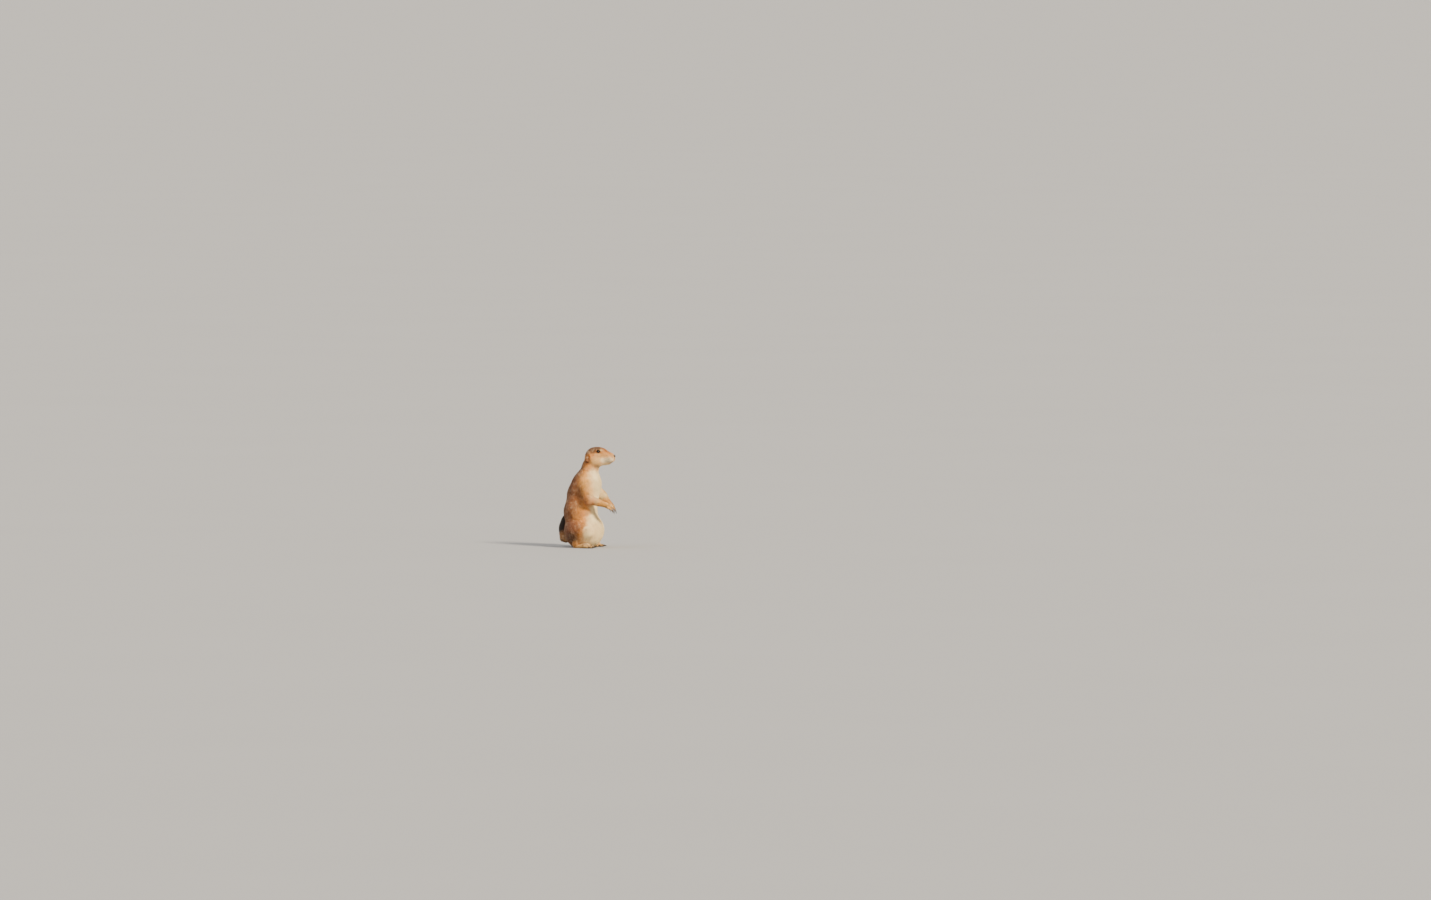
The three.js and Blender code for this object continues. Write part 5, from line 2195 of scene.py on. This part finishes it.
@dataclass(frozen=True)
class EyeFinish:
    """A wet, very dark brown eye with a black pupil."""

    pupil: str = "020101"
    iris: str = "1c0d06"
    rim: str = "070403"

    def make(self) -> bpy.types.Material:
        """Makes the material.

        Returns:
            The finished material.
        """
        wiring = Wiring("eye_wet")
        along = wiring.stored("along")
        streaks = wiring.noise(wiring.own_place(), 1600.0, 3.0)
        colour = wiring.mix(wiring.smooth(along, 0.10, 0.14), tone(self.pupil), tone(self.iris))
        colour = wiring.mix(streaks * 0.5, colour, tone(self.pupil))
        colour = wiring.mix(wiring.smooth(along, 0.22, 0.3), colour, tone(self.rim))
        return wiring.finish(colour, 0.12, Specular_IOR_Level=0.08, Coat_Weight=0.4, Coat_Roughness=0.02)


@dataclass(frozen=True)
class NoseFinish:
    """Dark, moist, pebbled skin, with painted shade in the nostrils."""

    dark: str = "211612"
    light: str = "43302a"
    # near-black painted shade inside the nostrils
    nostril_shade_colour: str = "060404"

    def make(self) -> bpy.types.Material:
        """Makes the material.

        Returns:
            The finished material.
        """
        wiring = Wiring("nose_skin_pebbled")
        place = wiring.own_place()
        pebbles = wiring.node("ShaderNodeTexVoronoi", {"feature": "F1"}, place, None, 2200.0)
        height = 1 - Link(wiring, pebbles.outputs[0])
        wear = wiring.noise(place, 420.0, 3.0)
        colour = wiring.mix(wear * 0.7, tone(self.dark), tone(self.light))
        # painted shade in the nostrils
        colour = wiring.mix(wiring.stored("nostril_shade"), colour, tone(self.nostril_shade_colour))
        bump = wiring.node("ShaderNodeBump", {}, 0.35, 0.0002, Height=height)
        return wiring.finish(colour, 0.44 + 0.2 * wear, Normal=bump.outputs[0], Specular_IOR_Level=0.45)


@dataclass(frozen=True)
class ClawFinish:
    """Dark horn, paler and greyer at its root, with fine streaks."""

    root: str = "6d5844"
    tip: str = "1a1310"

    def make(self) -> bpy.types.Material:
        """Makes the material.

        Returns:
            The finished material.
        """
        wiring = Wiring("claw_horn")
        along = wiring.stored("along")
        streaks = wiring.noise(wiring.own_place(), 1500.0, 4.0)
        share = wiring.smooth(along + (streaks - 0.5) * 0.25, 0.2, 0.7)
        colour = wiring.mix(share, tone(self.root), tone(self.tip))
        bump = wiring.node("ShaderNodeBump", {}, 0.25, 0.0002, Height=streaks)
        return wiring.finish(colour, 0.3 + 0.2 * streaks, Normal=bump.outputs[0])


@dataclass(frozen=True)
class WhiskerFinish:
    """Stiff dark hair."""

    dark: str = "1b1410"
    light: str = "5d4a38"

    def make(self) -> bpy.types.Material:
        """Makes the material.

        Returns:
            The finished material.
        """
        wiring = Wiring("whisker_hair")
        share = wiring.noise(wiring.own_place(), 90.0) * 0.7
        return wiring.finish(wiring.mix(share, tone(self.dark), tone(self.light)), 0.4)


@dataclass(frozen=True)
class FloorFinish:
    """A plain pale floor."""

    pale: str = "9ea0a2"
    shade: str = "9b9d9f"

    def make(self) -> bpy.types.Material:
        """Makes the material.

        Returns:
            The finished material.
        """
        wiring = Wiring("floor_pale")
        share = wiring.noise(wiring.own_place(), 1.3, 3.0)
        colour = wiring.mix(share, tone(self.pale), tone(self.shade))
        return wiring.finish(colour, 0.85, Specular_IOR_Level=0.2)


@dataclass
class Studio:
    """The floor, the light and the camera, which aren't part of the animal."""

    anatomy: Anatomy
    placement: Placement
    flesh: Flesh
    image: tuple[int, int] = (1431, 900)
    eye_pixel: Pair = (598.3, 451.6)
    millimetres_per_pixel: float = 2.75
    distance: float = 30.0
    azimuth: float = 20.0
    elevation: float = 3.0
    sensor: float = 36.0
    floor_size: float = 400.0
    surround: str = "f0e8dc"
    surround_power: float = 1.0
    suns: Sequence[tuple[str, Triple, float, float, str]] = (
        ("main_light", (0.66, 0.58, 0.62), 7.4, 12.0, "ffeed6"),
        ("fill_light", (-0.8, 0.1, 0.7), 1.2, 60.0, "f3f4ff"),
    )

    def build(self) -> None:
        """Adds all of it."""
        self._floor()
        self._lights()
        self._camera()

    def _floor(self) -> None:
        """A plane that runs past the edge of the picture."""
        half = self.floor_size / 2
        corners = vec([(-half, -half, 0), (half, -half, 0), (half, half, 0), (-half, half, 0)])
        floor = make_mesh("floor", corners, np.arange(4), np.array([4]))
        floor.data.materials.append(FloorFinish().make())

    def _lights(self) -> None:
        """A warm, soft main light from the front right of the picture, a cooler fill, and a pale surround.

        Each light stands so far to the picture's right, towards the camera and up.
        """
        right, _, towards = self._directions()
        for name, (aside, near, above), power, spread, colour in self.suns:
            way = right * aside + towards * near + vec((0, 0, above))
            light = bpy.data.lights.new(name, "SUN")
            light.energy = power
            light.angle = math.radians(spread)
            light.color = tone(colour)[:3]
            made = bpy.data.objects.new(name, light)
            made.rotation_euler = Vector(way).to_track_quat("Z", "Y").to_euler()
            bpy.context.scene.collection.objects.link(made)
        world = bpy.data.worlds.new("surround")
        world.use_nodes = True
        background = world.node_tree.nodes["Background"]
        background.inputs["Color"].default_value = tone(self.surround)
        background.inputs["Strength"].default_value = self.surround_power
        bpy.context.scene.world = world

    def _directions(self) -> tuple[Points, Points, Points]:
        """The picture's right, its up, and the way from the animal to the camera.

        Returns:
            The three directions.
        """
        a, e = math.radians(self.azimuth), math.radians(self.elevation)
        right = vec((math.cos(a), math.sin(a), 0.0))
        towards = vec((math.sin(a) * math.cos(e), -math.cos(a) * math.cos(e), math.sin(e)))
        return right, np.cross(towards, right), towards

    def _camera(self) -> None:
        """Looks from the photograph's direction, and puts the eye on the photograph's pixel."""
        right, up, towards = self._directions()
        front = 0.9 * self.anatomy.eye_radius * self.flesh.eye_frame()[0]
        eye = on_side(vec(self.anatomy.eye_at) + front, -1)
        eye = self.placement.metres(self.anatomy.world(eye[None]))[0]
        pixel = self.millimetres_per_pixel * MM
        aside = (self.eye_pixel[0] - self.image[0] / 2) * pixel
        above = (self.image[1] / 2 - self.eye_pixel[1]) * pixel
        data = bpy.data.cameras.new("camera")
        data.sensor_width = self.sensor
        data.lens = self.sensor * self.distance / (self.image[0] * pixel)
        data.clip_end = 2 * self.floor_size
        camera = bpy.data.objects.new("camera", data)
        camera.location = eye + towards * self.distance - right * aside - up * above
        camera.rotation_euler = Vector(towards).to_track_quat("Z", "Y").to_euler()
        bpy.context.scene.collection.objects.link(camera)
        bpy.context.scene.camera = camera


def dress(made: bpy.types.Object, material: bpy.types.Material) -> None:
    """Gives a piece its material and slot, and lets it ride on the body.

    Args:
        made: The piece.
        material: Its material.
    """
    made.data.materials.append(material)
    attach(made, BODY)


def main() -> None:
    """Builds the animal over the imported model, and the studio round it."""
    logging.basicConfig(level=logging.INFO, format="%(message)s")
    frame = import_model()
    anatomy = Anatomy()
    flesh = Flesh(anatomy)
    placement = Placement(anatomy)
    Studio(anatomy, placement, flesh).build()

    skin = Skin(anatomy, flesh, placement)
    made = skin.build()
    dress(made, FurFinish().make("fur_skin", bump=True))
    kept = ("eye_", "nose")
    flesh_nodes = [n for n in frame["nodes"] if "_claw_" not in n and not n.startswith(kept)]
    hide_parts(*flesh_nodes)
    LOG.info("skin: %d faces", len(made.data.polygons))

    fur = FurFinish().make("fur_tufts", bump=False)
    for piece in FurCoat(anatomy, flesh, skin, placement).build():
        dress(piece, fur)
        LOG.info("%s: %d tufts", piece.name, len(piece.data.polygons) // 2)
    brush = TailBrush(anatomy, placement).build()
    dress(brush, BrushFinish().make())
    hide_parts("tail_tip")
    LOG.info("%s: %d tufts", brush.name, len(brush.data.polygons) // 3)

    eye_finish = EyeFinish().make()
    for node, piece in Eyes(anatomy, flesh, placement).build().items():
        dress(piece, eye_finish)
        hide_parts(node)
    horn = ClawFinish().make()
    for node, piece in Claws(anatomy, placement).build().items():
        dress(piece, horn)
        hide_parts(node)
    nose = Nose(anatomy, placement).build()
    dress(nose, NoseFinish().make())
    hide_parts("nose")
    whiskers = Whiskers(anatomy, skin, placement).build()
    dress(whiskers, WhiskerFinish().make())
    LOG.info("eyes, claws, nose and whiskers are in place")


if __name__ == "__main__":
    main()
